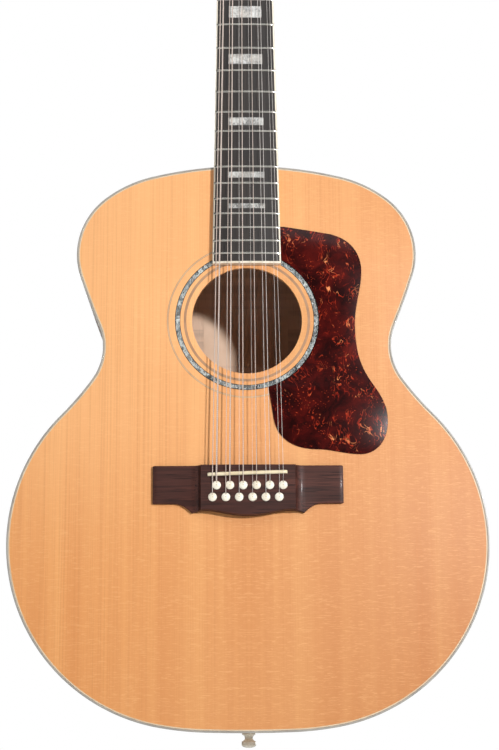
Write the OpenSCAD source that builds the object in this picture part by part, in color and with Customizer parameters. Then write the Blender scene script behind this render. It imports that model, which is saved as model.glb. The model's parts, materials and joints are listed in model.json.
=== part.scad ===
// Twelve-string acoustic guitar with a jumbo body and fourteen frets clear of the body.
// +Z runs up the neck, the soundboard faces -Y and the treble side is +X.
// The pieces are drawn as a luthier would: x across, y from the tail to the head and z out
// of the soundboard, whose face is z = 0. place() then stands them up in the frame.

/* [Scale and frets] */
// String length from nut to saddle
scale_length = 648; // [640:0.5:652]
// Number of frets
fret_count = 20; // [18:1:20]
// Width of a fret crown
fret_w = 2.2; // [1.8:0.1:2.6]
// Height of a fret crown
fret_h = 1.1; // [0.8:0.1:1.4]

/* [Body] */
// Radius of the arc across the tail
tail_r = 1050; // [900:1:1200]
// Angle that the tail arc turns through on each side
tail_turn = 2.15; // [1.5:0.01:3]
// Radius of the corner between the tail and the lower bout
hip_r = 275; // [240:1:290]
// Angle that this corner turns through
hip_turn = 8.15; // [7:0.01:10]
// Radius of the lower bout
lower_r = 165.3; // [160:0.1:172]
// Angle that the lower bout turns through
lower_turn = 123.8; // [122:0.01:125]
// Radius of the slack curve between the lower bout and the waist
flank_r = 253; // [200:1:300]
// Angle that this curve turns back through
flank_turn = 9.7; // [8:0.01:12]
// Radius of the hollow of the waist
waist_r = 52.2; // [48:0.1:60]
// Angle that the waist turns back through
waist_turn = 56.96; // [54:0.01:59]
// Radius of the nearly straight edge above the waist
rise_r = 686; // [500:1:900]
// Angle that this edge turns through
rise_turn = 4.24; // [3:0.01:5]
// Radius of the upper bout
upper_r = 69; // [66:0.1:74]
// Angle that the upper bout turns through
upper_turn = 69.8; // [66:0.01:74]
// Radius of the shoulder beside the neck
shoulder_r = 113; // [105:0.1:125]
// Angle that the shoulder turns through
shoulder_turn = 24.5; // [22:0.01:27]
// Distance of the body's edge beyond the fourteenth fret
body_past_fret = 3.3; // [2:0.1:6]
// Depth of the body on the centreline at the tail
tail_depth = 121; // [110:1:128]
// Depth of the body on the centreline at the neck
neck_depth = 103; // [96:1:108]
// Radius of the back's arch from side to side
back_arch_r = 3600; // [2800:10:6000]
// Thickness of the soundboard
top_t = 2.9; // [2.5:0.1:3.4]
// Thickness of the back
back_t = 2.8; // [2.4:0.1:3.4]
// Thickness of the sides
side_t = 2.4; // [2.2:0.1:3]
// Width of the edge binding
binding_w = 1.8; // [1.5:0.1:2]
// Height of the edge binding on the side
binding_h = 6; // [5:0.5:8]
// Width of the inlaid line inside the top binding
purfling_w = 1.6; // [1:0.1:2]

/* [Soundhole and pickguard] */
// Radius of the soundhole
hole_r = 50.2; // [48:0.1:52]
// Distance of the soundhole centre from the saddle line
hole_s = 141.8; // [138:0.1:145]
// Depth of every inlaid line
inlay_t = 1.2; // [0.8:0.1:1.6]
// Thickness of the pickguard
guard_t = 1; // [0.8:0.1:1.6]

/* [Neck and fingerboard] */
// Width of the fingerboard at the nut
nut_w = 47.6; // [46:0.1:49]
// Width of the fingerboard at the body end
board_end_w = 63.2; // [62:0.1:66]
// Distance from the saddle line to the end of the fingerboard
board_end_s = 194.4; // [193:0.1:198]
// Thickness of the fingerboard on its centreline
board_t = 6.3; // [5.5:0.1:7]
// Radius of the fingerboard's arched face
board_arch_r = 406; // [300:1:600]
// Width of the strip that binds the fingerboard's sides
board_binding_w = 1.4; // [1:0.1:1.8]
// Width of the strip across the end of the fingerboard
board_end_strip = 2; // [1.5:0.1:2.5]
// Depth of the neck wood at the nut
neck_depth_nut = 15; // [14:0.5:17]
// Depth of the neck wood where the heel starts
neck_depth_heel = 18.5; // [17:0.5:21]
// Length of the nut along the neck
nut_len = 6; // [5:0.5:7]

/* [Headstock] */
// Angle that the headstock leans back
head_tilt = 15; // [13:0.5:17]
// Length of the headstock
head_len = 199; // [196:1:210]
// Thickness of the headstock wood
head_t = 14; // [13:0.5:15]
// Thickness of the headstock's face veneer
veneer_t = 1.6; // [1:0.1:2]
// Half width of the headstock at its shoulders
head_half_low = 36; // [35:0.5:38]
// Half width of the headstock at its top corners
head_half_top = 40; // [38:0.5:42]

/* [Tuners] */
// Distance from the nut to the first pair of string posts
first_post_v = 36; // [34:1:40]
// Spacing of the string posts along the headstock
post_pitch = 27; // [26:0.5:28]
// Distance of the string posts from the headstock's edge
post_inset = 11; // [10.5:0.5:12]
// Radius of a string post
post_r = 3; // [2.8:0.1:3.2]
// Height of a string post above the headstock's wood face
post_h = 15; // [14:0.5:18]
// Radial clearance of turning shafts
running_gap = 0.06; // [0.04:0.01:0.1]
// Number of teeth on each tuner's gear
gear_teeth = 14; // [14:1:14]
// Pitch of the worm thread and of the gear teeth
worm_pitch = 2.2; // [2.2:0.1:2.2]

/* [Bridge] */
// Half length of the bridge across the body
bridge_half = 85.2; // [82:0.1:88]
// Height of the bridge's raised middle
bridge_h = 9.2; // [8.5:0.1:10]
// Height of the bridge's thin wings
wing_h = 3.4; // [3:0.1:4.5]
// Height of the top of the saddle above the soundboard
saddle_top = 12.2; // [11.5:0.1:13]
// Spacing of the string pairs at the saddle
course_pitch = 11.86; // [11.5:0.01:12]
// Spacing of the two strings in a pair at the saddle
pair_gap = 3.55; // [3.2:0.05:3.8]

/* [Hidden] */
TUNERS = 12;
STRINGS = 12;
$fn = 48;
EPS = 0.5;
LARGE_FN = 720;

// ---- body outline: tangent arcs walked from the tail's middle to the neck's middle ----
BODY_ARCS = [[tail_r, tail_turn], [hip_r, hip_turn], [lower_r, lower_turn],
             [-flank_r, -flank_turn], [-waist_r, -waist_turn], [rise_r, rise_turn],
             [upper_r, upper_turn], [shoulder_r, shoulder_turn]];
ARC_STEP = 5;
function arc_centre(p, heading, r) = [p[0] - r * sin(heading), p[1] + r * cos(heading)];
function on_arc(c, r, heading) = [c[0] + r * sin(heading), c[1] - r * cos(heading)];
function walk_end(i, p, heading) = i == len(BODY_ARCS) ? [p, heading] :
    let (r = BODY_ARCS[i][0], next = heading + BODY_ARCS[i][1])
    walk_end(i + 1, on_arc(arc_centre(p, heading, r), r, next), next);
WALKED = walk_end(0, [0, 0], 0);
// the last arc beside the neck is the one that ends square to the centreline
LAST_TURN = 180 - WALKED[1];
LAST_R = WALKED[0][0] / sin(WALKED[1]);
ALL_ARCS = concat(BODY_ARCS, [[LAST_R, LAST_TURN]]);
function walk_points(i, p, heading, inset) = i == len(ALL_ARCS) ? [] :
    let (r = ALL_ARCS[i][0], turn = ALL_ARCS[i][1], c = arc_centre(p, heading, r),
         n = ceil(abs(turn) / ARC_STEP))
    concat([for (k = [1:n]) on_arc(c, r - inset, heading + turn * k / n)],
           walk_points(i + 1, on_arc(c, r, heading + turn), heading + turn, inset));
// half of the outline on the treble side, moved in by inset
function half_outline(inset) = concat([[0, inset]], walk_points(0, [0, 0], 0, inset));
function mirrored(points) = [for (i = [len(points) - 2:-1:1]) [-points[i][0], points[i][1]]];
function reversed(points) = [for (i = [len(points) - 1:-1:0]) points[i]];
function outline(inset) = let (h = half_outline(inset)) concat(h, mirrored(h));
BODY_LEN = arc_centre(WALKED[0], WALKED[1], LAST_R)[1] + LAST_R;

// ---- stations along the neck, all measured from the tail ----
fret_14_ratio = pow(2, -14 / 12);
saddle_y = BODY_LEN - scale_length * fret_14_ratio - body_past_fret;
nut_y = saddle_y + scale_length;
hole_y = saddle_y + hole_s;
board_end_y = saddle_y + board_end_s;
head_y = nut_y + nut_len;
function fret_y(n) = nut_y - scale_length * (1 - pow(2, -n / 12));
function board_half(y) = (nut_w + (board_end_w - nut_w) * (nut_y - y) / (nut_y - board_end_y)) / 2;
function arch(x) = sqrt(pow(board_arch_r, 2) - x * x) - board_arch_r;

// the back slopes forward from the tail to the neck and arches from side to side
back_slope = atan((tail_depth - neck_depth) / BODY_LEN);

// ---- strings, numbered from the bass side; odd ones are the thin string of each pair ----
// radius of each string and whether it is wound
STRING_R = [0.38, 0.68, 0.29, 0.53, 0.18, 0.41, 0.12, 0.3, 0.2, 0.2, 0.15, 0.15];
function is_wound(i) = STRING_R[i] > 0.25;
nut_course_pitch = 7.48;
nut_pair_gap = 2.3;
bass_offset = -0.2;
function course_of(i) = floor(i / 2) - 2.5;
function pair_side(i) = (i % 2) - 0.5;
function saddle_x(i) = course_of(i) * course_pitch + pair_side(i) * pair_gap + bass_offset;
function nut_x(i) = course_of(i) * nut_course_pitch + pair_side(i) * nut_pair_gap;
// the saddle's middle stands behind the scale line and leans back towards the bass side
saddle_mid_s = -2.2;
saddle_slope = 1 / 31;
saddle_half_t = 1.6;
// a string bends just behind the saddle's rear edge
function saddle_s(i) = saddle_mid_s + saddle_slope * saddle_x(i) - saddle_half_t - 0.1;
nut_string_z = board_t + fret_h + 0.6;
function saddle_point(i) = [saddle_x(i), saddle_y + saddle_s(i),
                            saddle_top + arch(saddle_x(i)) + STRING_R[i] + 0.04];
function nut_point(i) = [nut_x(i), nut_y, nut_string_z + arch(nut_x(i)) + STRING_R[i]];
function nut_back_point(i) = nut_point(i) + [0, nut_len, -0.35];

// ---- bridge pins: thin strings in the rear row, thick ones in the front row ----
PIN_ROW_S = [-23.6, -12.95];
pin_head_r = 3.9;
pin_head_rim = 0.4;
pin_dome = 1.6;
pin_r = 2.55;
pin_len = 22;
function pin_x(i) = course_of(i) * 11.8 + (i % 2 == 0 ? -2.1 : 1.5);
function pin_y(i) = saddle_y + PIN_ROW_S[i % 2];
pin_groove_r = 0.85;
ball_r = 1.95;
function pin_string_y(i) = pin_y(i) + pin_r;

// ---- headstock: u across, v from the nut to the tip, w out of its wooden face ----
head_shoulder_v = 20;
head_corner_v = head_len - 9;
function head_half(v) = head_half_low +
    (head_half_top - head_half_low) * (v - head_shoulder_v) / (head_corner_v - head_shoulder_v);
function post_v(k) = first_post_v + k * post_pitch;
function post_u(k) = head_half(post_v(k)) - post_inset;
// tuner i serves string i; tuners 1 to 6 are on the bass side, nearest the nut first
function tuner_row(i) = i <= 6 ? i - 1 : TUNERS - i;
function tuner_side(i) = i <= 6 ? -1 : 1;
wrap_w = 7;
// half width where the neck spreads into the headstock
head_start_v = 2;
function flare(v) = let (t = v / head_shoulder_v)
    nut_w / 2 + (head_half_low - nut_w / 2) * t * t * (3 - 2 * t);

// ---- tuner: local x points out to the button, y is v and z is w, from the post's axis ----
gear_r = gear_teeth * worm_pitch / (2 * PI);
gear_tooth_h = 0.75;
gear_h = 2.4;
worm_r = 2.1;
worm_core_r = 1.35;
worm_tip_r = 2.55;
worm_y = gear_r + worm_r;
shaft_r = 2;
housing_x = [-7.4, 10.4];
housing_y = [-11.4, 11.2];
housing_h = 8.4;
housing_wall = 1.2;
gear_z = -head_t - housing_h / 2 + 0.2;
button_x = 22.5;
button_r = 4.6;
bushing_r = 4.4;
bushing_len = 9;
bushing_flange_r = 5.6;
bushing_flange_t = 1.2;
screw_r = 1.1;
housing_screw = [-3, -8.6];

// ---- neck joint, truss rod and end pin ----
heel_len = 56;
heel_flat = 15;
heel_cap_t = 2.4;
heel_depth = neck_depth - heel_cap_t - 1;
tenon_len = 17;
tenon_top = -top_t;
tenon_bottom = -84;
block_len = 46;
block_half = 38;
tail_block_len = 20;
tail_block_half = 45;
rod_w = 6;
rod_h = 9;
rod_z = -rod_h / 2 - 0.8;
rod_start_y = BODY_LEN + 10;
rod_end_y = nut_y - 6;
rod_thread_r = 2.4;
rod_thread_end = head_y + 7;
rod_nut_r = 3.6;
rod_nut_y = [head_y + 2.5, head_y + 11];
end_pin_z = -(tail_depth - 1) / 2;
end_pin_hole_r = 4;
end_pin_head_r = 6.5;
end_pin_waist_r = 3.6;
end_pin_head_len = 3.2;
// distance from the tail to the middle of the end pin's head, which is the frame's origin
end_pin_reach = 9.6;

// ---- placing ----
module place() {
    translate([0, end_pin_z, end_pin_reach]) rotate([90, 0, 0]) children();
}

module on_headstock() {
    translate([0, head_y, 0]) rotate([-head_tilt, 0, 0]) children();
}

module at_tuner(i) {
    on_headstock()
        translate([tuner_side(i) * post_u(tuner_row(i)), post_v(tuner_row(i)), 0])
            mirror([tuner_side(i) < 0 ? 1 : 0, 0, 0]) children();
}

function head_to_body(p) = [p[0], head_y + p[1] * cos(head_tilt) + p[2] * sin(head_tilt),
                            -p[1] * sin(head_tilt) + p[2] * cos(head_tilt)];

// round bar between two points
module rod(a, b, r) {
    d = b - a;
    translate(a) rotate([0, acos(d[2] / norm(d)), atan2(d[1], d[0])]) cylinder(r = r, h = norm(d));
}

// slab with the body's outline, from z_low to z_high
module body_slab(inset, z_low, z_high) {
    translate([0, 0, z_low]) linear_extrude(z_high - z_low) polygon(outline(inset));
}

// band that follows the body's outline between two insets
module body_band(outer, inner, z_low, z_high) {
    difference() {
        body_slab(outer, z_low, z_high);
        body_slab(inner, z_low - EPS, z_high + EPS);
    }
}

// everything in front of the arched back's surface, less depth
module inside_arch(depth) {
    translate([0, 0, -tail_depth]) rotate([back_slope, 0, 0])
        translate([0, -100, back_arch_r]) rotate([-90, 0, 0])
            cylinder(r = back_arch_r - depth, h = BODY_LEN + 200, $fn = LARGE_FN);
}

module strip_box(x, y, z) {
    translate([x[0], y[0], z[0]]) cube([x[1] - x[0], y[1] - y[0], z[1] - z[0]]);
}

// ---- body shell ----
module soundboard() {
    color("#f0bb82") place() difference() {
        body_slab(binding_w, -top_t, 0);
        translate([0, hole_y, -10]) cylinder(r = hole_r, h = 20);
        body_band(binding_w - EPS, binding_w + purfling_w, -inlay_t, 1);
        rosette_rings(1);
        for (i = [0:STRINGS - 1])
            translate([pin_x(i), pin_y(i), -10]) cylinder(r = pin_r + 0.9, h = 20);
    }
}

module back() {
    color("#d9a86a") place() difference() {
        intersection() {
            body_slab(binding_w, -tail_depth - 20, -neck_depth + 12);
            inside_arch(0);
        }
        inside_arch(back_t);
    }
}

// one bent side: a half band cut by the back's arch and by the neck joint
module half_side() {
    difference() {
        intersection() {
            union() {
                half_band(0, side_t, -tail_depth - 20, -binding_h);
                half_band(binding_w, side_t, -binding_h - EPS, -top_t);
            }
            inside_arch(back_t);
        }
        difference() {
            body_band(-EPS, binding_w, -tail_depth - 21, -neck_depth + 12);
            inside_arch(binding_h);
        }
        tenon();
        end_pin_hole();
    }
}

module half_band(outer, inner, z_low, z_high) {
    translate([0, 0, z_low]) linear_extrude(z_high - z_low)
        polygon(concat(half_outline(outer), reversed(half_outline(inner))));
}

module side_treble() {
    color("#d9a86a") place() half_side();
}

module side_bass() {
    color("#d9a86a") place() mirror([1, 0, 0]) half_side();
}

module end_pin_hole() {
    translate([0, -10, end_pin_z]) rotate([-90, 0, 0]) cylinder(r = end_pin_hole_r, h = 60);
}

module top_binding() {
    color("#e6e1d3") place() difference() {
        union() {
            body_band(0, binding_w, -binding_h, 0);
            body_band(binding_w - 0.01, binding_w + purfling_w, -inlay_t, 0);
        }
        tenon();
    }
}

module back_binding() {
    color("#e6e1d3") place() difference() {
        intersection() {
            body_band(0, binding_w, -tail_depth - 20, -neck_depth + 12);
            inside_arch(0);
        }
        inside_arch(binding_h);
    }
}

module top_lining() {
    color("#c9985f") place() difference() {
        body_band(side_t, side_t + 6, -top_t - 14, -top_t);
        block_spaces();
    }
}

module back_lining() {
    color("#c9985f") place() difference() {
        intersection() {
            body_band(side_t, side_t + 6, -tail_depth - 20, -neck_depth + 30);
            inside_arch(back_t);
        }
        inside_arch(back_t + 14);
        block_spaces();
    }
}

module block_spaces() {
    strip_box([-block_half, block_half], [BODY_LEN - block_len, BODY_LEN + 1], [-140, 1]);
    strip_box([-tail_block_half, tail_block_half], [-1, side_t + tail_block_len], [-140, 1]);
}

module head_block() {
    color("#a9713f") place() difference() {
        intersection() {
            body_slab(side_t, -tail_depth - 20, -top_t);
            strip_box([-block_half, block_half], [BODY_LEN - block_len, BODY_LEN], [-140, 0]);
            inside_arch(back_t);
        }
        tenon();
    }
}

module tail_block() {
    color("#a9713f") place() difference() {
        intersection() {
            body_slab(side_t, -tail_depth - 20, -top_t);
            strip_box([-tail_block_half, tail_block_half], [0, side_t + tail_block_len], [-140, 0]);
            inside_arch(back_t);
        }
        end_pin_hole();
    }
}

// ---- bracing ----
x_cross_y = saddle_y + 62;
x_angle = 48;
brace_w = 8;
brace_h = 14;

// bar under the soundboard that starts at (x, y) and runs at an angle from the tail's direction
module brace(x, y, angle, length, w, h) {
    translate([x, y, -top_t - h]) rotate([0, 0, angle]) translate([-w / 2, 0, 0])
        cube([w, length, h]);
}

module top_braces() {
    color("#e3bb85") place() difference() {
        union() {
            for (side = [-1, 1]) {
                brace(0, x_cross_y, side * (180 - x_angle), 238, brace_w, brace_h);
                brace(0, x_cross_y, side * x_angle, 152, brace_w, brace_h);
                brace(side * 58, hole_y - 34, 0, 78, 12, 3);
                brace(side * 96, x_cross_y - 42, side * -122, 76, 6, 9);
                brace(side * 74, x_cross_y - 56, side * -138, 92, 6, 9);
            }
            brace(-96, x_cross_y - 122, -118, 168, 7, 12);
            brace(-82, x_cross_y - 168, -118, 158, 7, 12);
            strip_box([-136, 136], [hole_y + 62, hole_y + 74], [-top_t - 16, -top_t]);
        }
        translate([0, hole_y, -40]) cylinder(r = hole_r + 2, h = 60);
    }
}

BACK_BRACE_Y = [62, 190, 330, 468];
BACK_BRACE_HALF = [159, 203, 123, 134];

module back_braces() {
    color("#e3bb85") place() intersection() {
        for (k = [0:3])
            strip_box([-BACK_BRACE_HALF[k], BACK_BRACE_HALF[k]],
                      [BACK_BRACE_Y[k] - 5, BACK_BRACE_Y[k] + 5], [-140, -60]);
        difference() {
            inside_arch(back_t);
            inside_arch(back_t + 15);
        }
    }
}

module bridge_plate() {
    color("#d8b98c") place() difference() {
        translate([0, saddle_y, -top_t - 2.6]) linear_extrude(2.6)
            polygon([[-50, 0], [50, 0], [88, -42], [-88, -42]]);
        for (i = [0:STRINGS - 1])
            translate([pin_x(i), pin_y(i), -10]) cylinder(r = pin_r + 0.9, h = 20);
    }
}

// ---- rosette and pickguard ----
// inner and outer radius of each inlaid ring; the middle one is the wide shell ring
RINGS = [[55.4, 57.8], [61, 65.8], [71.6, 73.2]];

module rosette_rings(z_top) {
    for (ring = RINGS)
        translate([0, hole_y, -inlay_t]) difference() {
            cylinder(r = ring[1], h = inlay_t + z_top, $fn = 96);
            translate([0, 0, -1]) cylinder(r = ring[0], h = inlay_t + z_top + 2, $fn = 96);
        }
}

module rosette() {
    color("#9fb3ae") place() rosette_rings(0);
}

function cubic(a, b, c, d, n) = [for (k = [0:n - 1]) let (t = k / n, m = 1 - t)
    m * m * m * a + 3 * m * m * t * b + 3 * m * t * t * c + t * t * t * d];

// outline from the fingerboard's edge, round both lobes and back up to the rosette;
// x is measured from the centreline and y from the saddle line
GUARD_POINTS = concat(
    cubic([26, 233], [44, 230], [60, 227.5], [76, 224.5], 3),
    cubic([76, 224.5], [95, 220.5], [105.5, 207], [105.6, 189], 9),
    cubic([105.6, 189], [105.6, 172], [98.5, 156], [98.6, 136], 6),
    cubic([98.6, 136], [98.7, 108], [104, 95], [115.5, 78.5], 7),
    cubic([115.5, 78.5], [122.5, 68], [126.4, 60], [126.4, 48], 5),
    cubic([126.4, 48], [126.4, 29], [116, 16], [100.5, 16.3], 8),
    cubic([100.5, 16.3], [86, 16.6], [76, 20.9], [62, 21], 4),
    cubic([62, 21], [42, 21.2], [23, 30], [22.6, 58], 8),
    [[22.6, 58], [22.6, 130], [26, 130]]);

module pickguard() {
    color("#5a1713") place() difference() {
        translate([0, saddle_y, 0]) linear_extrude(guard_t) polygon(GUARD_POINTS);
        translate([0, hole_y, -1]) cylinder(r = RINGS[1][1], h = 4, $fn = 96);
        board_prism(0, -1, 4);
    }
}

// ---- neck ----
// prism with the fingerboard's plan, its sides and end moved in
module board_prism(inset, z_low, z_high, end_inset = 0) {
    y_end = board_end_y + end_inset;
    translate([0, 0, z_low]) linear_extrude(z_high - z_low)
        polygon([[board_half(y_end) - inset, y_end], [board_half(nut_y) - inset, nut_y],
                 [inset - board_half(nut_y), nut_y], [inset - board_half(y_end), y_end]]);
}

// everything below the arched face, raised by rise
module under_arch(rise) {
    translate([0, board_end_y - 10, board_t - board_arch_r]) rotate([-90, 0, 0])
        cylinder(r = board_arch_r + rise, h = scale_length, $fn = LARGE_FN);
}

module fret_slots(w, low, high) {
    for (n = [1:fret_count])
        strip_box([-40, 40], [fret_y(n) - w / 2, fret_y(n) + w / 2], [low, high]);
}

MARKED_FRETS = [1, 3, 5, 7, 9, 12, 15, 17];

module marker_blocks() {
    for (n = MARKED_FRETS) {
        space = fret_y(n - 1) - fret_y(n);
        y = (fret_y(n - 1) + fret_y(n)) / 2;
        half_len = (0.637 * space - 4.6) / 2;
        half_w = 0.565 * board_half(y);
        strip_box([-half_w, half_w], [y - half_len, y + half_len], [board_t - inlay_t - 1.2, 20]);
    }
}

module fingerboard() {
    color("#2e2926") place() difference() {
        intersection() {
            board_prism(board_binding_w, 0, 10, board_end_strip);
            under_arch(0);
        }
        fret_slots(0.6, board_t - 3.2, 20);
        marker_blocks();
    }
}

module fingerboard_binding() {
    color("#efe6cd") place() difference() {
        intersection() {
            board_prism(0, 0, 10);
            under_arch(0);
        }
        board_prism(board_binding_w, -1, 11, board_end_strip);
    }
}

module frets() {
    color("#d8d8d8") place() union() {
        difference() {
            intersection() {
                board_prism(0.6, 0, 12);
                under_arch(fret_h);
                fret_slots(fret_w, 1, 20);
            }
            under_arch(0);
        }
        intersection() {
            board_prism(board_binding_w, 0, 12, board_end_strip);
            under_arch(0.2);
            fret_slots(0.6, board_t - 3.2, 20);
        }
    }
}

module position_markers() {
    color("#f2efe6") place() intersection() {
        marker_blocks();
        under_arch(0);
    }
}

// cross-section of the neck wood: a squarish half oval that narrows towards a deep heel
SECTION_STEPS = 20;
function neck_section(y, depth, square, taper) = let (a = board_half(min(y, nut_y)))
    [for (k = [0:SECTION_STEPS]) let (t = 180 * k / SECTION_STEPS,
        c = cos(t), s = sin(t),
        x = (c < 0 ? -1 : 1) * pow(abs(c), 2 / square), z = pow(max(s, 0), 2 / square))
        [a * x * (1 - taper * z), y, -depth * z]];
// the same kind of section past the nut, leaning back with the headstock and just inside its faces
function lean_section(v, depth, square, lean, inset) =
    [for (p = neck_section(nut_y, depth, square, 0))
        let (u = p[0] * (flare(v) - inset) / (nut_w / 2), w = p[2] - inset)
        [u, head_y + v * cos(lean) + w * sin(lean), w * cos(lean) - v * sin(lean)]];
HEEL_STEPS = 10;
NECK_SECTIONS = concat(
    [for (v = [15, 12, 9, 6, 3])
        lean_section(v, head_t - 0.6 + 0.08 * (15 - v), 5 - 0.2 * (15 - v), head_tilt, 0.3)],
    [lean_section(0, neck_depth_nut, 2.3, head_tilt / 2, 0)],
    [neck_section(nut_y, neck_depth_nut, 2.2, 0)],
    [for (k = [0:HEEL_STEPS]) let (f = 90 * k / HEEL_STEPS, rise = 1 - cos(f),
        y = BODY_LEN + heel_len - (heel_len - heel_flat) * sin(f))
        neck_section(y, neck_depth_heel + (heel_depth - neck_depth_heel) * rise,
                     2.2 + 1.6 * sin(f), 0.58 * rise)],
    [neck_section(BODY_LEN - 3, heel_depth, 3.8, 0.58)]);

// skin over a row of equal sections, closed at both ends
module skin(sections) {
    n = len(sections[0]);
    rows = len(sections);
    polyhedron(
        points = [for (s = sections) for (p = s) p],
        faces = concat(
            [[for (k = [n - 1:-1:0]) k]],
            [[for (k = [0:n - 1]) (rows - 1) * n + k]],
            [for (r = [0:rows - 2]) for (k = [0:n - 1]) let (m = (k + 1) % n)
                [(r + 1) * n + m, (r + 1) * n + k, r * n + k]],
            [for (r = [0:rows - 2]) for (k = [0:n - 1]) let (m = (k + 1) % n)
                [r * n + m, (r + 1) * n + m, r * n + k]]),
        convexity = 6);
}

// dovetail that locks the heel into the head block
module tenon() {
    translate([0, BODY_LEN, tenon_bottom]) linear_extrude(tenon_top - tenon_bottom)
        polygon([[-10, 4], [-10, -3], [-14, -tenon_len], [14, -tenon_len], [10, -3], [10, 4]]);
}

function round_corner(c, r, from, to) = [for (a = [from:(to - from) / 6:to])
    c + r * [cos(a), sin(a)]];
head_corner_r = 9;
head_crown_r = 130;
head_half_outline = concat(
    [for (v = [head_start_v:2:head_shoulder_v]) [flare(v), v]],
    round_corner([head_half_top - head_corner_r, head_corner_v - head_corner_r],
                 head_corner_r, 0, 72),
    [for (a = [12:-2:0]) [0, head_len - head_crown_r] + head_crown_r * [sin(a), cos(a)]]);
HEAD_OUTLINE = concat(head_half_outline,
                      [for (p = reversed(head_half_outline)) if (p[0] > 0) [-p[0], p[1]]]);

module head_slab(low, high) {
    translate([0, 0, low]) linear_extrude(high - low) polygon(HEAD_OUTLINE);
}

module rod_nut_pocket() {
    strip_box([-5, 5], [nut_y - 6.5, head_y + 24], [rod_z - 5, 6]);
}

module neck() {
    color("#8a5a35") place() difference() {
        union() {
            difference() {
                skin(NECK_SECTIONS);
                body_slab(0, -200, 20);
            }
            on_headstock() head_slab(-head_t, 0);
            tenon();
        }
        strip_box([-rod_w / 2, rod_w / 2], [rod_start_y, rod_end_y],
                  [rod_z - rod_h / 2, 1]);
        rod_nut_pocket();
        for (i = [1:TUNERS])
            at_tuner(i) translate([0, 0, -head_t - 1]) cylinder(r = bushing_r, h = head_t + 3);
        small_screw_holes();
    }
}

module headstock_veneer() {
    color("#4a2c20") place() difference() {
        on_headstock() linear_extrude(veneer_t) polygon(concat(
            [[-flare(0.5), 0.5], [flare(0.5), 0.5]], HEAD_OUTLINE));
        rod_nut_pocket();
        for (i = [1:TUNERS])
            at_tuner(i) translate([0, 0, -1]) cylinder(r = bushing_r, h = 6);
        small_screw_holes();
    }
}

module heel_cap() {
    color("#efe6cd") place() difference() {
        translate([0, 0, -heel_depth - heel_cap_t]) linear_extrude(heel_cap_t)
            polygon(concat([[12.6, BODY_LEN - 3]],
                [for (a = [0:15:180]) [12.6 * cos(a), BODY_LEN + heel_flat - 8 + 8 * sin(a)]],
                [[-12.6, BODY_LEN - 3]]));
        body_slab(0, -200, 20);
    }
}

module nut() {
    color("#f1ead6") place() difference() {
        intersection() {
            translate([-nut_w / 2, 0, 0]) rotate([90, 0, 90]) linear_extrude(nut_w)
                polygon([[nut_y, 0], [head_y, 0], [head_y, nut_string_z - 0.6],
                         [head_y - 1.5, nut_string_z + 0.3], [nut_y, nut_string_z + 0.4]]);
            translate([0, nut_y - 1, nut_string_z + 0.4 - board_arch_r]) rotate([-90, 0, 0])
                cylinder(r = board_arch_r, h = nut_len + 2, $fn = LARGE_FN);
        }
        for (i = [0:STRINGS - 1])
            rod(nut_point(i) - [0, 1, -0.06], nut_back_point(i) + [0, 1, 0],
                STRING_R[i] + 0.03);
    }
}

// ---- truss rod ----
module truss_rod() {
    color("#9a9a9a") place() union() {
        strip_box([-rod_w / 2, rod_w / 2], [rod_start_y, rod_end_y],
                  [rod_z - rod_h / 2, rod_z + rod_h / 2]);
        translate([0, rod_end_y, rod_z]) rotate([-90, 0, 0])
            cylinder(r = rod_thread_r, h = rod_thread_end - rod_end_y);
    }
}

module truss_rod_nut() {
    color("#c8a951") place() difference() {
        translate([0, rod_nut_y[0], rod_z]) rotate([-90, 0, 0])
            cylinder(r = rod_nut_r, h = rod_nut_y[1] - rod_nut_y[0]);
        translate([0, rod_nut_y[0] - 1, rod_z]) rotate([-90, 0, 0])
            cylinder(r = rod_thread_r + running_gap, h = rod_thread_end - rod_nut_y[0] + 1.2);
        translate([0, rod_nut_y[1] - 4.5, rod_z]) rotate([-90, 0, 0])
            cylinder(r = 2.3, h = 5, $fn = 6);
    }
}

COVER_OUTLINE = [for (side = [1, -1])
    for (p = side > 0 ? [[9, 3], [12, 6], [12.5, 12], [9, 36], [7, 47], [4, 50]]
                      : [[4, 50], [7, 47], [9, 36], [12.5, 12], [12, 6], [9, 3]])
        [side * p[0], p[1]]];

module truss_rod_cover() {
    color("#1c1c1e") place() difference() {
        on_headstock() translate([0, 0, veneer_t]) linear_extrude(1.8) polygon(COVER_OUTLINE);
        small_screw_holes();
    }
}

// the cover's two screws and one screw through the ear of each tuner housing
module each_small_screw() {
    on_headstock() translate([0, 46, veneer_t + 1.8]) children();
    on_headstock() translate([9.5, 8, veneer_t + 1.8]) children();
    on_headstock() translate([-9.5, 8, veneer_t + 1.8]) children();
    for (i = [1:TUNERS])
        at_tuner(i) translate([housing_screw[0], housing_screw[1], -head_t - 2.2])
            mirror([0, 0, 1]) children();
}

module small_screw_holes() {
    each_small_screw() translate([0, 0, -9]) cylinder(r = screw_r, h = 10);
}

module small_screws() {
    color("#c8a951") place() each_small_screw() difference() {
        union() {
            translate([0, 0, -8.5]) cylinder(r1 = 0.4, r2 = screw_r, h = 3);
            translate([0, 0, -5.5]) cylinder(r = screw_r, h = 5.6);
            cylinder(r1 = 2, r2 = 1.6, h = 0.9);
        }
        translate([-0.25, -1.1, 0.4]) cube([0.5, 2.2, 1]);
        translate([-1.1, -0.25, 0.4]) cube([2.2, 0.5, 1]);
    }
}

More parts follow.
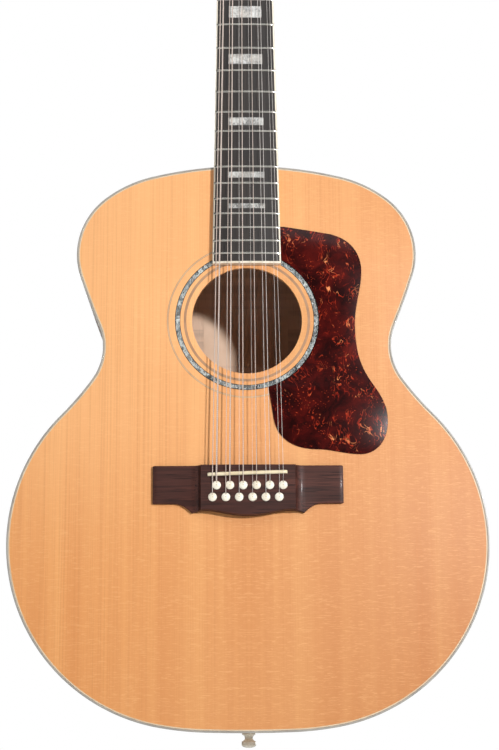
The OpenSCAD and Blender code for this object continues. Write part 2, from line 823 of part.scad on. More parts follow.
// ---- bridge ----
// plan of the treble half: square shoulders, a hollow under each wing, a belly at the tail
BRIDGE_HALF = concat(
    [[0, 5.8], [bridge_half - 0.8, 5.8], [bridge_half, 5], [bridge_half, -27.7],
     [bridge_half - 0.8, -28.5]],
    cubic([66, -28.5], [60, -28.5], [56, -31], [49.6, -37], 5),
    cubic([49.6, -37], [45, -35.2], [40, -34.6], [35, -34.8], 5),
    cubic([35, -34.8], [25, -35.4], [16, -39.4], [0, -39.4], 7),
    [[0, -39.4]]);
BRIDGE_OUTLINE = concat(BRIDGE_HALF,
    [for (p = reversed(BRIDGE_HALF)) if (p[0] > 0) [-p[0], p[1]]]);
// front view: thin wings, a scooped rise and a level middle with eased edges
scoop_r = bridge_h - wing_h;
BRIDGE_FRONT_HALF = concat(
    [[bridge_half + 1, 0], [bridge_half + 1, wing_h - 1.2], [bridge_half - 3, wing_h]],
    [for (a = [270:-15:180]) [42 + scoop_r * 1.6, bridge_h] +
        [scoop_r * 1.6 * cos(a), scoop_r * sin(a)]]);
BRIDGE_FRONT = concat(BRIDGE_FRONT_HALF,
    [for (p = reversed(BRIDGE_FRONT_HALF)) [-p[0], p[1]]]);

module saddle_blank() {
    translate([-0.5, saddle_y + saddle_mid_s, 0]) rotate([0, 0, atan(saddle_slope)])
        strip_box([-35.4, 35.4], [-saddle_half_t, saddle_half_t], [4, 20]);
}

module bridge() {
    color("#4a3430") place() difference() {
        intersection() {
            translate([0, saddle_y, 0]) linear_extrude(bridge_h) polygon(BRIDGE_OUTLINE);
            translate([0, saddle_y + 50, 0]) rotate([90, 0, 0]) linear_extrude(100)
                polygon(BRIDGE_FRONT);
        }
        saddle_blank();
        for (i = [0:STRINGS - 1]) {
            translate([pin_x(i), pin_y(i), -1]) cylinder(r = pin_r + 0.03, h = 20);
            translate([pin_x(i), pin_string_y(i), -1]) cylinder(r = pin_groove_r, h = 20);
        }
    }
}

module saddle() {
    color("#efe3c0") place() intersection() {
        saddle_blank();
        translate([0, saddle_y - 10, saddle_top - board_arch_r]) rotate([-90, 0, 0])
            cylinder(r = board_arch_r, h = 20, $fn = LARGE_FN);
    }
}

module bridge_pins() {
    color("#f4efe2") place() for (i = [0:STRINGS - 1]) difference() {
        translate([pin_x(i), pin_y(i), 0]) rotate_extrude()
            polygon(concat(
                [[0, bridge_h - pin_len], [1.7, bridge_h - pin_len], [pin_r, bridge_h - 4],
                 [pin_r, bridge_h], [pin_head_r, bridge_h],
                 [pin_head_r, bridge_h + pin_head_rim]],
                [for (a = [15:15:90])
                    [pin_head_r * cos(a), bridge_h + pin_head_rim + pin_dome * sin(a)]]));
        translate([pin_x(i), pin_string_y(i), bridge_h - pin_len - 1])
            cylinder(r = pin_groove_r, h = pin_len + 6);
        // slot through the front of the head, and a flat on the tip for the ball end
        translate([pin_x(i), pin_string_y(i), bridge_h - 1])
            strip_box([-pin_groove_r, pin_groove_r], [0, 4], [0, 5]);
        translate([pin_x(i), pin_string_y(i) - ball_r - 0.1, bridge_h - pin_len - 1])
            strip_box([-3, 3], [0, 6], [0, 1 + pin_len - bridge_h - top_t - 4.3]);
    }
}

// ---- strings ----
function string_down(i) = [pin_x(i), pin_string_y(i), -top_t - 4.4];
function string_up(i) = [pin_x(i), pin_string_y(i), bridge_h + 0.4];
// the string meets its post on the side that faces the centreline
function string_end(i) = let (n = i + 1, r = post_r + 1.7 * STRING_R[i] + 0.15)
    head_to_body([tuner_side(n) * (post_u(tuner_row(n)) - r - STRING_R[i]),
                  post_v(tuner_row(n)), wrap_w]);

// ring of points round p, square to a string that runs in direction t
STRING_SIDES = 10;
function string_ring(p, t, r) = let (up = [0, -t[2], t[1]] / norm([0, t[2], t[1]]))
    [for (k = [0:STRING_SIDES - 1]) let (a = 360 * k / STRING_SIDES)
        p + r * (cos(a) * [1, 0, 0] + sin(a) * up)];
function unit(v) = v / norm(v);

module string(i) {
    path = [string_down(i), string_up(i), saddle_point(i), nut_point(i), nut_back_point(i),
            string_end(i)];
    last = len(path) - 1;
    skin([for (k = [0:last])
        string_ring(path[k], unit(path[max(k, 1)] - path[max(k, 1) - 1]) +
            unit(path[min(k, last - 1) + 1] - path[min(k, last - 1)]), STRING_R[i])]);
}

module plain_strings() {
    color("#e8e6df") place() for (i = [0:STRINGS - 1]) if (!is_wound(i)) string(i);
}

module wound_strings() {
    color("#c9b27a") place() for (i = [0:STRINGS - 1]) if (is_wound(i)) string(i);
}

module string_ball_ends() {
    color("#c8a951") place() for (i = [0:STRINGS - 1])
        translate(string_down(i) + [-1.6, 0, -2]) rotate([0, 90, 0]) difference() {
            cylinder(r = ball_r, h = 3.2, $fn = 32);
            translate([0, 0, -1]) cylinder(r = 0.7, h = 6, $fn = 24);
        }
}

// ---- end pin ----
module end_pin() {
    color("#f4efe2") place() translate([0, 0, end_pin_z]) rotate([90, 0, 0]) rotate_extrude()
        polygon([[0, -24], [2.8, -24], [end_pin_hole_r, -2], [end_pin_hole_r, 0], [6.2, 0],
                 [6.2, 1.8], [end_pin_waist_r, 3.6], [end_pin_waist_r, 6.2],
                 [end_pin_head_r, end_pin_reach - end_pin_head_len / 2],
                 [end_pin_head_r, end_pin_reach + end_pin_head_len / 2],
                 [5.2, end_pin_reach + 3], [2.6, end_pin_reach + 3.8], [0, end_pin_reach + 4]]);
}

// ---- tuners ----
function round_rect(x, y, r) = concat(
    round_corner([x[1] - r, y[1] - r], r, 0, 90), round_corner([x[0] + r, y[1] - r], r, 90, 180),
    round_corner([x[0] + r, y[0] + r], r, 180, 270),
    round_corner([x[1] - r, y[0] + r], r, 270, 360));

module tuner_housings() {
    color("#d0ab52") place() for (i = [1:TUNERS]) at_tuner(i) difference() {
        union() {
            translate([0, 0, -head_t - housing_h]) linear_extrude(housing_h)
                polygon(round_rect(housing_x, housing_y, 3));
            translate([housing_x[1] - 1, worm_y, gear_z]) rotate([0, 90, 0])
                cylinder(r = 3.4, h = 4);
        }
        gear_space();
        translate([housing_screw[0], housing_screw[1], -head_t - housing_h - 1])
            cylinder(r = 2.3, h = housing_h - 1.2);
        translate([housing_screw[0], housing_screw[1], -head_t - 4])
            cylinder(r = screw_r, h = 5);
    }
}

// hollow that holds the gear and the worm, with the bearings of the worm's shaft
module gear_space() {
    translate([0, 0, -head_t - housing_h + housing_wall])
        cylinder(r = gear_r + gear_tooth_h + 0.4, h = housing_h);
    translate([-5.6, worm_y, gear_z]) rotate([0, 90, 0])
        cylinder(r = worm_tip_r + 0.35, h = 12.2);
    translate([housing_x[0] + 0.8, worm_y, gear_z]) rotate([0, 90, 0])
        cylinder(r = worm_core_r + running_gap, h = 4);
    translate([0, worm_y, gear_z]) rotate([0, 90, 0])
        cylinder(r = shaft_r + running_gap, h = 30);
}

module tuner_bushings() {
    color("#d0ab52") place() for (i = [1:TUNERS]) at_tuner(i) difference() {
        union() {
            translate([0, 0, veneer_t - bushing_len]) cylinder(r = bushing_r, h = bushing_len);
            translate([0, 0, veneer_t]) cylinder(r = bushing_flange_r, h = bushing_flange_t - 0.4);
            translate([0, 0, veneer_t + bushing_flange_t - 0.4])
                cylinder(r1 = bushing_flange_r, r2 = bushing_flange_r - 0.8, h = 0.4);
        }
        translate([0, 0, veneer_t - bushing_len - 1])
            cylinder(r = post_r + running_gap, h = bushing_len + 6);
    }
}

// single-start thread: a trapezium carried along a helix round the x axis
THREAD_STEPS = 12;
THREAD_TURNS = 3.4;
function thread_section(k) = let (a = 360 * (k / THREAD_STEPS - THREAD_TURNS / 2),
    x = worm_pitch * a / 360)
    [for (p = [[worm_core_r - 0.3, -0.52], [worm_tip_r, -0.22], [worm_tip_r, 0.22],
               [worm_core_r - 0.3, 0.52]])
        [x + p[1], p[0] * cos(a + 180), p[0] * sin(a + 180)]];

module tuner_button(i) {
    color("#d0ab52") place() at_tuner(i) union() {
        translate([0, worm_y, gear_z]) {
            skin([for (k = [0:THREAD_STEPS * THREAD_TURNS]) thread_section(k)]);
            translate([housing_x[0] + 1, 0, 0]) rotate([0, 90, 0])
                cylinder(r = worm_core_r, h = 14);
            translate([6.6, 0, 0]) rotate([0, 90, 0])
                cylinder(r = shaft_r, h = button_x - 6.6);
            translate([housing_x[1] + 3.4, 0, 0]) rotate([0, 90, 0])
                cylinder(r1 = 2.6, r2 = 3.2, h = 4.4);
            intersection() {
                union() {
                    translate([button_x, -4, 0]) sphere(r = button_r);
                    translate([button_x, 4, 0]) sphere(r = button_r);
                    translate([button_x, -4, 0]) rotate([-90, 0, 0])
                        cylinder(r = button_r, h = 8);
                }
                strip_box([10, 40], [-10, 10], [-3.4, 3.4]);
            }
        }
    }
}

// gear outline, with a tooth gap towards the worm's thread at rest
GEAR_OUTLINE = [for (t = [0:gear_teeth - 1])
    for (p = [[-0.3, -0.8], [-0.12, gear_tooth_h], [0.12, gear_tooth_h], [0.3, -0.8]])
        let (a = 90 + 360 * (t + 0.5 + p[0] * 0.62) / gear_teeth, r = gear_r + p[1])
            r * [cos(a), sin(a)]];

module tuner_post(i) {
    string_r = STRING_R[i - 1];
    color("#d0ab52") place() at_tuner(i) difference() {
        union() {
            translate([0, 0, gear_z - gear_h / 2]) linear_extrude(gear_h) polygon(GEAR_OUTLINE);
            rotate_extrude()
                polygon([[0, gear_z - 2.6], [post_r, gear_z - 2.6], [post_r, post_h - 0.8],
                         [post_r - 0.7, post_h], [0, post_h]]);
            for (k = [-1:1])
                translate([0, 0, wrap_w + k * 2.3 * string_r]) rotate_extrude()
                    translate([post_r + string_r * 0.7, 0]) circle(r = string_r, $fn = 24);
        }
        translate([-5, 0, wrap_w + 3.6]) rotate([0, 90, 0]) cylinder(r = 0.8, h = 10, $fn = 24);
    }
}

// ---- what is drawn ----
soundboard();
back();
side_bass();
side_treble();
top_binding();
back_binding();
top_lining();
back_lining();
head_block();
tail_block();
top_braces();
back_braces();
bridge_plate();
neck();
headstock_veneer();
fingerboard();
fingerboard_binding();
frets();
position_markers();
nut();
truss_rod();
truss_rod_nut();
truss_rod_cover();
small_screws();
rosette();
pickguard();
bridge();
saddle();
bridge_pins();
plain_strings();
wound_strings();
string_ball_ends();
end_pin();
heel_cap();
tuner_housings();
tuner_bushings();
for (i = [1:TUNERS]) tuner_button(i);
for (i = [1:TUNERS]) tuner_post(i);
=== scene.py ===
"""Twelve-string jumbo acoustic guitar: the visible pieces and their materials, built round the CAD frame."""
import json
from math import atan, atan2, ceil, copysign, cos, pi, radians, sin, sqrt

import bpy
import bmesh
from mathutils import Matrix, Vector
from mathutils.geometry import delaunay_2d_cdt, tessellate_polygon


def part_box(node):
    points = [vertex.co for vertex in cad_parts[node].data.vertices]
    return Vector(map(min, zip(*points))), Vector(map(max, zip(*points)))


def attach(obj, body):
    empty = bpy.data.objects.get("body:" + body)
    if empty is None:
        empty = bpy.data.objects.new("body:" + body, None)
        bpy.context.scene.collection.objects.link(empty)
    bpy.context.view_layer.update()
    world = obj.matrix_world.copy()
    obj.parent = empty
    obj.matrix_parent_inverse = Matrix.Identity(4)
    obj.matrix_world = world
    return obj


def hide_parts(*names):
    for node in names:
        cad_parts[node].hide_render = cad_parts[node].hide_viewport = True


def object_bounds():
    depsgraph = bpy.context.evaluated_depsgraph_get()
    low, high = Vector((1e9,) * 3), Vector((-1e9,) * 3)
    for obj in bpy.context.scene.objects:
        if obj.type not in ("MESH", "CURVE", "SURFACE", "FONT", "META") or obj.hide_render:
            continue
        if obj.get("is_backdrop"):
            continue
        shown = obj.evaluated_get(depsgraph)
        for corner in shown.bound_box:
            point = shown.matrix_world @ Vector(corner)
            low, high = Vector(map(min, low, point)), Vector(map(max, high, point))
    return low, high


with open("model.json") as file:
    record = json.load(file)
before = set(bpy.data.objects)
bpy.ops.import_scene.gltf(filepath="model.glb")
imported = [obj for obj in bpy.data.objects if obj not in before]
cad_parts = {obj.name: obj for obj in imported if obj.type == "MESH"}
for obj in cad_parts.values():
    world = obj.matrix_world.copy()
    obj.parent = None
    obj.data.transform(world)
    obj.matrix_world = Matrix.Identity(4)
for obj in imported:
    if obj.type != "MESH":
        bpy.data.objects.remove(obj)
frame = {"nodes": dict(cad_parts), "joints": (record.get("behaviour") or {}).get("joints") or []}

CAD_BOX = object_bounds()
MM = 0.001
BODY = "guitar"


def rotation(degrees, axis):
    return Matrix.Rotation(radians(degrees), 4, axis)


# ---- the luthier's axes in millimetres: x to the treble side, y from tail to head, z out of the top
FACE_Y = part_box("soundboard")[0].y
TAIL_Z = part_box("top_binding")[0].z
STAND = Matrix(((MM, 0, 0, 0), (0, 0, -MM, FACE_Y), (0, MM, 0, TAIL_Z), (0, 0, 0, 1)))
TO_MM = STAND.inverted()


def box_mm(node):
    """Lowest and highest x, y, z of a CAD node on the luthier's axes."""
    a, b = (TO_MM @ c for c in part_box(node))
    return [tuple(sorted(pair)) for pair in zip(a, b)]


BODY_LEN = box_mm("top_binding")[1][1]
NUT_Y, HEAD_Y = box_mm("nut")[1]
NUT_HALF = box_mm("nut")[0][1]
SCALE = 648.0
SADDLE_Y = NUT_Y - SCALE
HOLE_Y = SADDLE_Y + 141.8
BOARD_END = box_mm("fingerboard_binding")[1][0]
HEAD_TILT = 15
LEAN = STAND @ Matrix.Translation((0, HEAD_Y, 0)) @ rotation(-HEAD_TILT, "X")
TAIL_DEPTH, NECK_DEPTH = 121.0, 103.0
BACK_SLOPE = atan((TAIL_DEPTH - NECK_DEPTH) / BODY_LEN)
BACK_ARCH = 3600.0
HOLE_R, HOLE_STEPS = 50.2, 160


# ---- meshes ----
WELD = 2e-6


def spaced(a, b, n):
    """n + 1 evenly spaced numbers from a to b."""
    return [a + (b - a) * k / n for k in range(n + 1)]


def link(name, data):
    """A scene object for a mesh, lamp or camera."""
    obj = bpy.data.objects.new(name, data)
    bpy.context.scene.collection.objects.link(obj)
    return obj


def sides_of(loop):
    return zip([loop[-1], *loop], loop)


class Lump:
    """Vertices and faces that are put together piece by piece."""

    def __init__(self):
        self.verts, self.faces = [], []

    def __iter__(self):
        return iter((self.verts, self.faces))

    def add(self, made, place=None):
        """Takes in (verts, faces) or another Lump."""
        verts, faces = made
        base = len(self.verts)
        self.verts += [place @ Vector(v) for v in verts] if place else [Vector(v) for v in verts]
        self.faces += [[base + k for k in f] for f in faces]
        return self


def piece(name, made, matrix, material, slot, nodes=(), body=BODY, sharp=35, tidy=True):
    """A Blender object from (verts, faces) or a Lump, riding on a CAD body."""
    verts, faces = made
    mesh = bpy.data.meshes.new(name)
    mesh.from_pydata([matrix @ Vector(v) for v in verts], [], faces)
    bm = bmesh.new()
    bm.from_mesh(mesh)
    if tidy:
        bmesh.ops.remove_doubles(bm, verts=bm.verts, dist=WELD)
    bmesh.ops.recalc_face_normals(bm, faces=bm.faces)
    bm.to_mesh(mesh)
    bm.free()
    mesh.polygons.foreach_set("use_smooth", [True] * len(mesh.polygons))
    mesh.set_sharp_from_angle(angle=radians(sharp))
    mesh.materials.append(material)
    obj = link(name, mesh)
    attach(obj, body)
    if nodes:
        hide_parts(*nodes)
    return obj


def loft(rings, caps=(True, True)):
    """Skin over closed rings with the same number of points."""
    n = len(rings[0])
    verts = [p for ring in rings for p in ring]
    faces = [[r * n + k, r * n + (k + 1) % n, (r + 1) * n + (k + 1) % n, (r + 1) * n + k]
             for r in range(len(rings) - 1) for k in range(n)]
    if caps[0]:
        faces.append(list(range(n))[::-1])
    if caps[1]:
        faces.append([(len(rings) - 1) * n + k for k in range(n)])
    return verts, faces


def circle(r, centre=(0, 0), steps=96):
    return [(centre[0] + r * cos(a), centre[1] + r * sin(a))
            for a in (2 * pi * k / steps for k in range(steps))]


def level(r, height, steps):
    """A circle round z at a height."""
    return [(x, y, height) for x, y in circle(r, steps=steps)]


def lathe(profile, steps=32):
    """A closed profile of (radius, height) turned round z; a radius of 0 is a pole."""
    return loft([level(r, h, steps) for r, h in profile])


def tube(path, radius, sides=10):
    """Round bar along a path."""
    points = [Vector(p) for p in path]
    last = len(points) - 1
    side, rings = None, []
    for k, p in enumerate(points):
        ahead = (points[min(k + 1, last)] - p).normalized()
        behind = (p - points[max(k - 1, 0)]).normalized()
        along = (ahead + behind).normalized()
        if side is None:
            side = along.orthogonal().normalized()
        side = (side - along * side.dot(along)).normalized()
        up = along.cross(side)
        turns = (2 * pi * j / sides for j in range(sides))
        rings.append([p + radius * (cos(a) * side + sin(a) * up) for a in turns])
    return loft(rings)


def offset_loop(loop, d):
    """A loop moved by d to its left, which is inwards where it runs anticlockwise."""
    out, n = [], len(loop)
    for k in range(n):
        a, b, c = (Vector(loop[j % n][:2]) for j in (k - 1, k, k + 1))
        one, two = (b - a).normalized(), (c - b).normalized()
        m = Vector((-one.y - two.y, one.x + two.x))
        out.append(b + m * (d / max(m.length_squared / 2, 0.35)))
    return out


def area_of(loop):
    """Area inside a loop, negative where it runs clockwise."""
    return sum(a[0] * b[1] - b[0] * a[1] for a, b in sides_of(loop)) / 2


def plate(loops, low, high, bevel=0.3, steps=3, low_bevel=None):
    """Flat plate with eased edges. The first loop is its outline, the others are holes."""
    loops = [[Vector(p[:2]) for p in (loop if (area_of(loop) > 0) == (k == 0) else loop[::-1])]
             for k, loop in enumerate(loops)]
    low_bevel = bevel if low_bevel is None else low_bevel
    turns = spaced(0, pi / 2, steps)
    levels = [(low_bevel * (1 - sin(a)), low + low_bevel * (1 - cos(a))) for a in turns]
    levels += [(bevel * (1 - sin(a)), high - bevel * (1 - cos(a))) for a in turns[::-1]]
    out = Lump()
    for loop in loops:
        rings = [[(p.x, p.y, z) for p in offset_loop(loop, d)] for d, z in levels]
        out.add(loft(rings, (False, False)))
    for d, z in (levels[0], levels[-1]):
        rings = [[Vector((p.x, p.y, z)) for p in offset_loop(loop, d)] for loop in loops]
        out.add(([p for ring in rings for p in ring], [list(t) for t in tessellate_polygon(rings)]))
    return out


def cubic(a, b, c, d, n):
    """Points of a Bezier curve from a up to, and without, d."""
    a, b, c, d = (Vector(p) for p in (a, b, c, d))
    return [(1 - t) ** 3 * a + 3 * (1 - t) ** 2 * t * b + 3 * (1 - t) * t * t * c + t ** 3 * d
            for t in (k / n for k in range(n))]


def mirrored(half):
    """A closed outline from its treble half, which runs from the centreline to the centreline."""
    return half + [Vector((-p[0], p[1])) for p in reversed(half) if p[0] > 1e-6]


# ---- body outline: tangent arcs of radius r and turn in degrees, walked from the tail
BODY_ARCS = [(1050, 2.15), (275, 8.15), (165.3, 123.8), (-253, -9.7),
             (-52.2, -56.96), (686, 4.24), (69, 69.8), (113, 24.5)]
OUTLINE_STEP = 1.5


def half_outline(inset):
    points, x, y, heading = [Vector((0, inset))], 0.0, 0.0, 0.0
    last_turn = 180 - sum(turn for _, turn in BODY_ARCS)
    for r, turn in BODY_ARCS + [(None, last_turn)]:
        h = radians(heading)
        r = r or x / sin(h)
        cx, cy = x - r * sin(h), y + r * cos(h)
        n = ceil(abs(turn) / OUTLINE_STEP)
        for k in range(1, n + 1):
            a = radians(heading + turn * k / n)
            points.append(Vector((cx + (r - inset) * sin(a), cy - (r - inset) * cos(a))))
        heading += turn
        h = radians(heading)
        x, y = cx + r * sin(h), cy - r * cos(h)
    points[-1].x = 0.0
    return points


def outline(inset):
    return mirrored(half_outline(inset))


def back_z(x, y, depth=0.0):
    """Height of the arched back's outer surface, or of a surface depth inside it."""
    rise = BACK_ARCH - sqrt((BACK_ARCH - depth) ** 2 - x * x)
    return -TAIL_DEPTH + (rise + y * sin(BACK_SLOPE)) / cos(BACK_SLOPE)


# ---- fingerboard and neck ----
BOARD_T, BOARD_ARCH = 6.3, 406.0
BOARD_END_HALF = 31.6


def fret_y(n):
    return NUT_Y - SCALE * (1 - 2 ** (-n / 12))


def board_half(y):
    return NUT_HALF + (BOARD_END_HALF - NUT_HALF) * (NUT_Y - y) / (NUT_Y - BOARD_END)


def arch(x):
    return sqrt(BOARD_ARCH ** 2 - x * x) - BOARD_ARCH


# ---- procedural materials ----
def linear(colour):
    """Linear colour from the usual 0 to 255 numbers; a colour with an alpha is linear already."""
    if len(colour) == 4:
        return colour
    shares = [c / 255 for c in colour]
    return (*(c / 12.92 if c <= 0.04045 else ((c + 0.055) / 1.055) ** 2.4 for c in shares), 1)


class Paint:
    """A Principled material whose colour, roughness and bump come from nodes in object space."""

    def __init__(self, name, rough, metallic=0.0, coat=0.0, coat_rough=0.1, ior=1.5):
        self.mat = bpy.data.materials.new(name)
        self.mat.use_nodes = True
        self.tree = self.mat.node_tree
        self.shader = self.tree.nodes["Principled BSDF"]
        self.fill(self.shader, {"Roughness": rough, "Metallic": metallic, "Coat Weight": coat,
                                "Coat Roughness": coat_rough, "IOR": ior})
        self.space = self.node("TexCoord").outputs["Object"]

    def node(self, kind, inputs=(), **settings):
        made = self.tree.nodes.new("ShaderNode" + kind)
        for key, value in settings.items():
            setattr(made, key, value)
        self.fill(made, inputs)
        return made

    def fill(self, node, inputs):
        for socket, value in dict(inputs).items():
            self.put(node.inputs[socket], value)

    def put(self, socket, value):
        """Links an output, or sets a number, vector or colour."""
        if isinstance(value, bpy.types.NodeSocket):
            self.tree.links.new(value, socket)
        else:
            socket.default_value = linear(value) if socket.type == "RGBA" else value

    def at(self, scale=(1, 1, 1), turn=(0, 0, 0), move=(0, 0, 0), source=None):
        return self.node("Mapping", {"Vector": source or self.space, "Scale": scale, "Location": move,
                                     "Rotation": [radians(t) for t in turn]}).outputs["Vector"]

    def noise(self, where, scale=1.0, detail=3.0, rough=0.5, distortion=0.0, colour=False):
        n = self.node("TexNoise", {"Vector": where, "Scale": scale, "Detail": detail, "Roughness": rough,
                                   "Distortion": distortion})
        return n.outputs["Color" if colour else "Fac"]

    def cells(self, where, scale, output):
        return self.node("TexVoronoi", {"Vector": where, "Scale": scale}).outputs[output]

    def split(self, where):
        """The x, y and z of a place."""
        return self.node("SeparateXYZ", {0: where}).outputs[:]

    def ramp(self, fac, *stops):
        """Stops are (position, colour)."""
        n = self.node("ValToRGB", {"Fac": fac})
        points = n.color_ramp.elements
        while len(points) < len(stops):
            points.new(0.5)
        for point, (position, colour) in zip(points, stops):
            point.position, point.color = position, linear(colour)
        return n.outputs["Color"]

    def mix(self, fac, a, b, mode="MIX"):
        n = self.node("Mix", data_type="RGBA", blend_type=mode)
        for socket, value in (("Factor_Float", fac), ("A_Color", a), ("B_Color", b)):
            self.put(next(s for s in n.inputs if s.identifier == socket), value)
        return next(s for s in n.outputs if s.identifier == "Result_Color")

    def tint(self, colour, mask, amount, other):
        """Mixes the other colour in by an amount where the mask is 1."""
        return self.mix(self.times(mask, amount), colour, other)

    def maths(self, operation, a, b=0.0):
        return self.node("Math", {0: a, 1: b}, operation=operation).outputs[0]

    def times(self, a, b):
        return self.maths("MULTIPLY", a, b)

    def less(self, value):
        """1 minus the value."""
        return self.maths("SUBTRACT", 1.0, value)

    def band(self, value, low, high):
        """0 below low to 1 above high."""
        return self.node("MapRange", {"Value": value, "From Min": low, "From Max": high},
                         interpolation_type="SMOOTHSTEP").outputs["Result"]

    def bookmatched(self):
        """Object space with x mirrored about the centreline, as in two halves cut from one board."""
        x, y, z = self.split(self.space)
        return self.node("CombineXYZ", {0: self.maths("ABSOLUTE", x), 1: y, 2: z}).outputs[0]

    def done(self, colour, rough, height, distance, strength):
        """Links colour, roughness (None leaves it) and bump height, and hands over the material."""
        bump = self.node("Bump", {"Height": height, "Distance": distance, "Strength": strength})
        self.fill(self.shader, {"Base Color": colour, "Normal": bump.outputs["Normal"]})
        if rough is not None:
            self.put(self.shader.inputs["Roughness"], rough)
        return self.mat


FINE_SHARE = 0.35
PORE_STRETCH = (1.3, 1.3, 1.6)
STREAK_SCALE = 2.2


def darker(colour, share):
    return (*(c * share for c in linear(colour)[:3]), 1)


def wood(name, colours, grain, figure=0.5, pores=0.6, streak=0.0, streak_colour=(0.01, 0.006, 0.004, 1),
         rough=0.4, coat=0.3, coat_rough=0.12, bookmatched=False, bands=(60, 60, 3), flame=0.0,
         flame_scale=None):
    """Wood with fibres along the axis where grain is smallest, in light, middle and dark colours."""
    p = Paint(name, rough, coat=coat, coat_rough=coat_rough)
    space = p.bookmatched() if bookmatched else p.space

    def layer(scale, move, *settings):
        return p.noise(p.at(scale, move=move, source=space), 1.0, *settings)

    broad = layer(bands, (0, 0, 0), 4, 0.55, 0.6)
    fine = layer(grain, (0, 0, 0), 3, 0.6, 0.2)
    share = FINE_SHARE * figure
    tone = p.maths("ADD", p.times(broad, 1 - share), p.times(fine, share))
    colour = p.ramp(tone, (0.3, colours[2]), (0.5, colours[1]), (0.7, colours[0]))
    open_pores = layer([g * k for g, k in zip(grain, PORE_STRETCH)], (3.1, 1.7, 0.4), 1, 0.4)
    dots = p.band(open_pores, 0.60, 0.68)
    colour = p.tint(colour, dots, pores, darker(colours[2], 0.35))
    if streak:
        line = layer([b * STREAK_SCALE for b in bands], (5, 2, 1), 5, 0.6, 0.9)
        colour = p.tint(colour, p.band(line, 0.52, 0.62), streak, streak_colour)
    if flame:
        ripple = layer(flame_scale, (0.3, 0.9, 0.2), 2, 0.45, 0.35)
        colour = p.tint(colour, p.band(ripple, 0.4, 0.62), flame, darker(colours[1], 0.62))
    height = p.maths("SUBTRACT", fine, p.times(dots, 0.8))
    roughness = p.maths("ADD", p.times(fine, 0.18), rough - 0.09)
    return p.done(colour, roughness, height, 0.00006, 0.55)


def spruce_top():
    """Bookmatched spruce under thin amber lacquer: straight grain, wide soft bands and faint silk."""
    p = Paint("spruce_top", 0.55, coat=0.08, coat_rough=0.4)
    p.shader.inputs["Specular IOR Level"].default_value = 0.28
    space = p.bookmatched()
    wander, lines, close, bands = (
        p.noise(p.at(scale, source=space), 1.0, detail, rough)
        for scale, detail, rough in (((3, 3, 1.2), 2, 0.5), ((620, 0, 2.2), 2, 0.65),
                                     ((1500, 0, 7), 2, 0.5), ((34, 0, 0.7), 3, 0.6)))
    silk = p.noise(p.at((120, 120, 1000), turn=(0, 4, 0), source=space), 1.0, 3, 0.6, 1.0)
    base = p.ramp(bands, (0.32, (227, 149, 86)), (0.5, (237, 163, 98)), (0.7, (246, 177, 110)))
    across, _, along = p.split(p.space)
    # painted shade: the treble side is painted darker and a little redder than the bass side
    side = p.times(p.band(across, -0.22, 0.2), 0.8)
    base = p.mix(side, base, p.mix(1.0, base, (206, 195, 198), "MULTIPLY"))
    # painted sheen: the bass side above the bridge is painted paler, as if the lacquer caught the lamps'
    # light
    high = p.times(p.band(along, 0.11, 0.33), p.less(side))
    base = p.tint(base, high, 0.9, p.mix(0.8, base, (246, 186, 128)))
    # painted shade: the top is painted darker towards the tail
    low = p.less(p.band(along, -0.05, 0.42))
    base = p.tint(base, low, 0.8, p.mix(1.0, base, (232, 226, 220), "MULTIPLY"))
    colour = p.tint(base, p.band(lines, 0.47, 0.66), 0.26, (196, 122, 66))
    colour = p.tint(colour, p.band(close, 0.5, 0.7), 0.2, (188, 116, 62))
    colour = p.tint(colour, p.band(silk, 0.5, 0.68), 0.22, (252, 200, 142))
    colour = p.tint(colour, p.band(wander, 0.4, 0.65), 0.18, (246, 190, 132))
    roughness = p.maths("ADD", p.times(silk, 0.1), 0.5)
    return p.done(colour, roughness, p.maths("ADD", lines, p.times(close, 0.4)), 0.00003, 0.35)


def tortoiseshell():
    """Dark maroon plastic with clouds, orange flecks and short curled streaks."""
    p = Paint("tortoiseshell", 0.2, coat=0.06, coat_rough=0.05, ior=1.3)
    bend = p.noise(p.at((30, 30, 30)), 1.0, 3, 0.55, colour=True)
    shift = p.node("VectorMath", {0: bend, "Scale": 0.03}, operation="SCALE").outputs[0]
    place = p.node("VectorMath", {0: p.at((1, 0.2, 1)), 1: shift}, operation="ADD").outputs[0]
    clouds = p.noise(place, 48, 4, 0.62, 0.8)
    colour = p.ramp(clouds, (0.36, (34, 5, 5)), (0.5, (56, 9, 8)), (0.6, (72, 13, 10)),
                    (0.72, (92, 20, 13)))
    tones = p.ramp(p.noise(place, 110, 2), (0.38, (120, 28, 17)), (0.55, (176, 56, 30)),
                   (0.7, (240, 150, 96)))
    for turn, scale, threshold, seed in ((14, 150, 0.5, 0.0), (-20, 200, 0.52, 7.0)):
        curls = p.noise(p.at((1, 1, 0.36), (0, turn, 0), (seed, 0, seed), place), scale, 1, 0.4, 0.8)
        line = p.maths("ABSOLUTE", p.maths("SUBTRACT", curls, 0.5))
        patches = p.noise(p.at(move=(seed, 1, 0), source=place), 62, 3, 0.6, 0.4)
        streaks = p.times(p.less(p.band(line, 0.006, 0.03)), p.band(patches, threshold, threshold + 0.1))
        colour = p.mix(streaks, colour, tones)
    flecks = p.cells(p.at((1, 1, 1.7), (0, -24, 0), source=place), 320, "Distance")
    spots = p.times(p.less(p.band(flecks, 0.12, 0.26)), p.band(p.noise(place, 80, 2), 0.5, 0.6))
    colour = p.tint(colour, spots, 0.8, (178, 62, 34))
    dark = p.band(p.noise(place, 70, 3, 0.6, 0.6), 0.56, 0.66)
    colour = p.tint(colour, dark, 0.7, (34, 8, 8))
    return p.done(colour, None, clouds, 0.00001, 0.1)


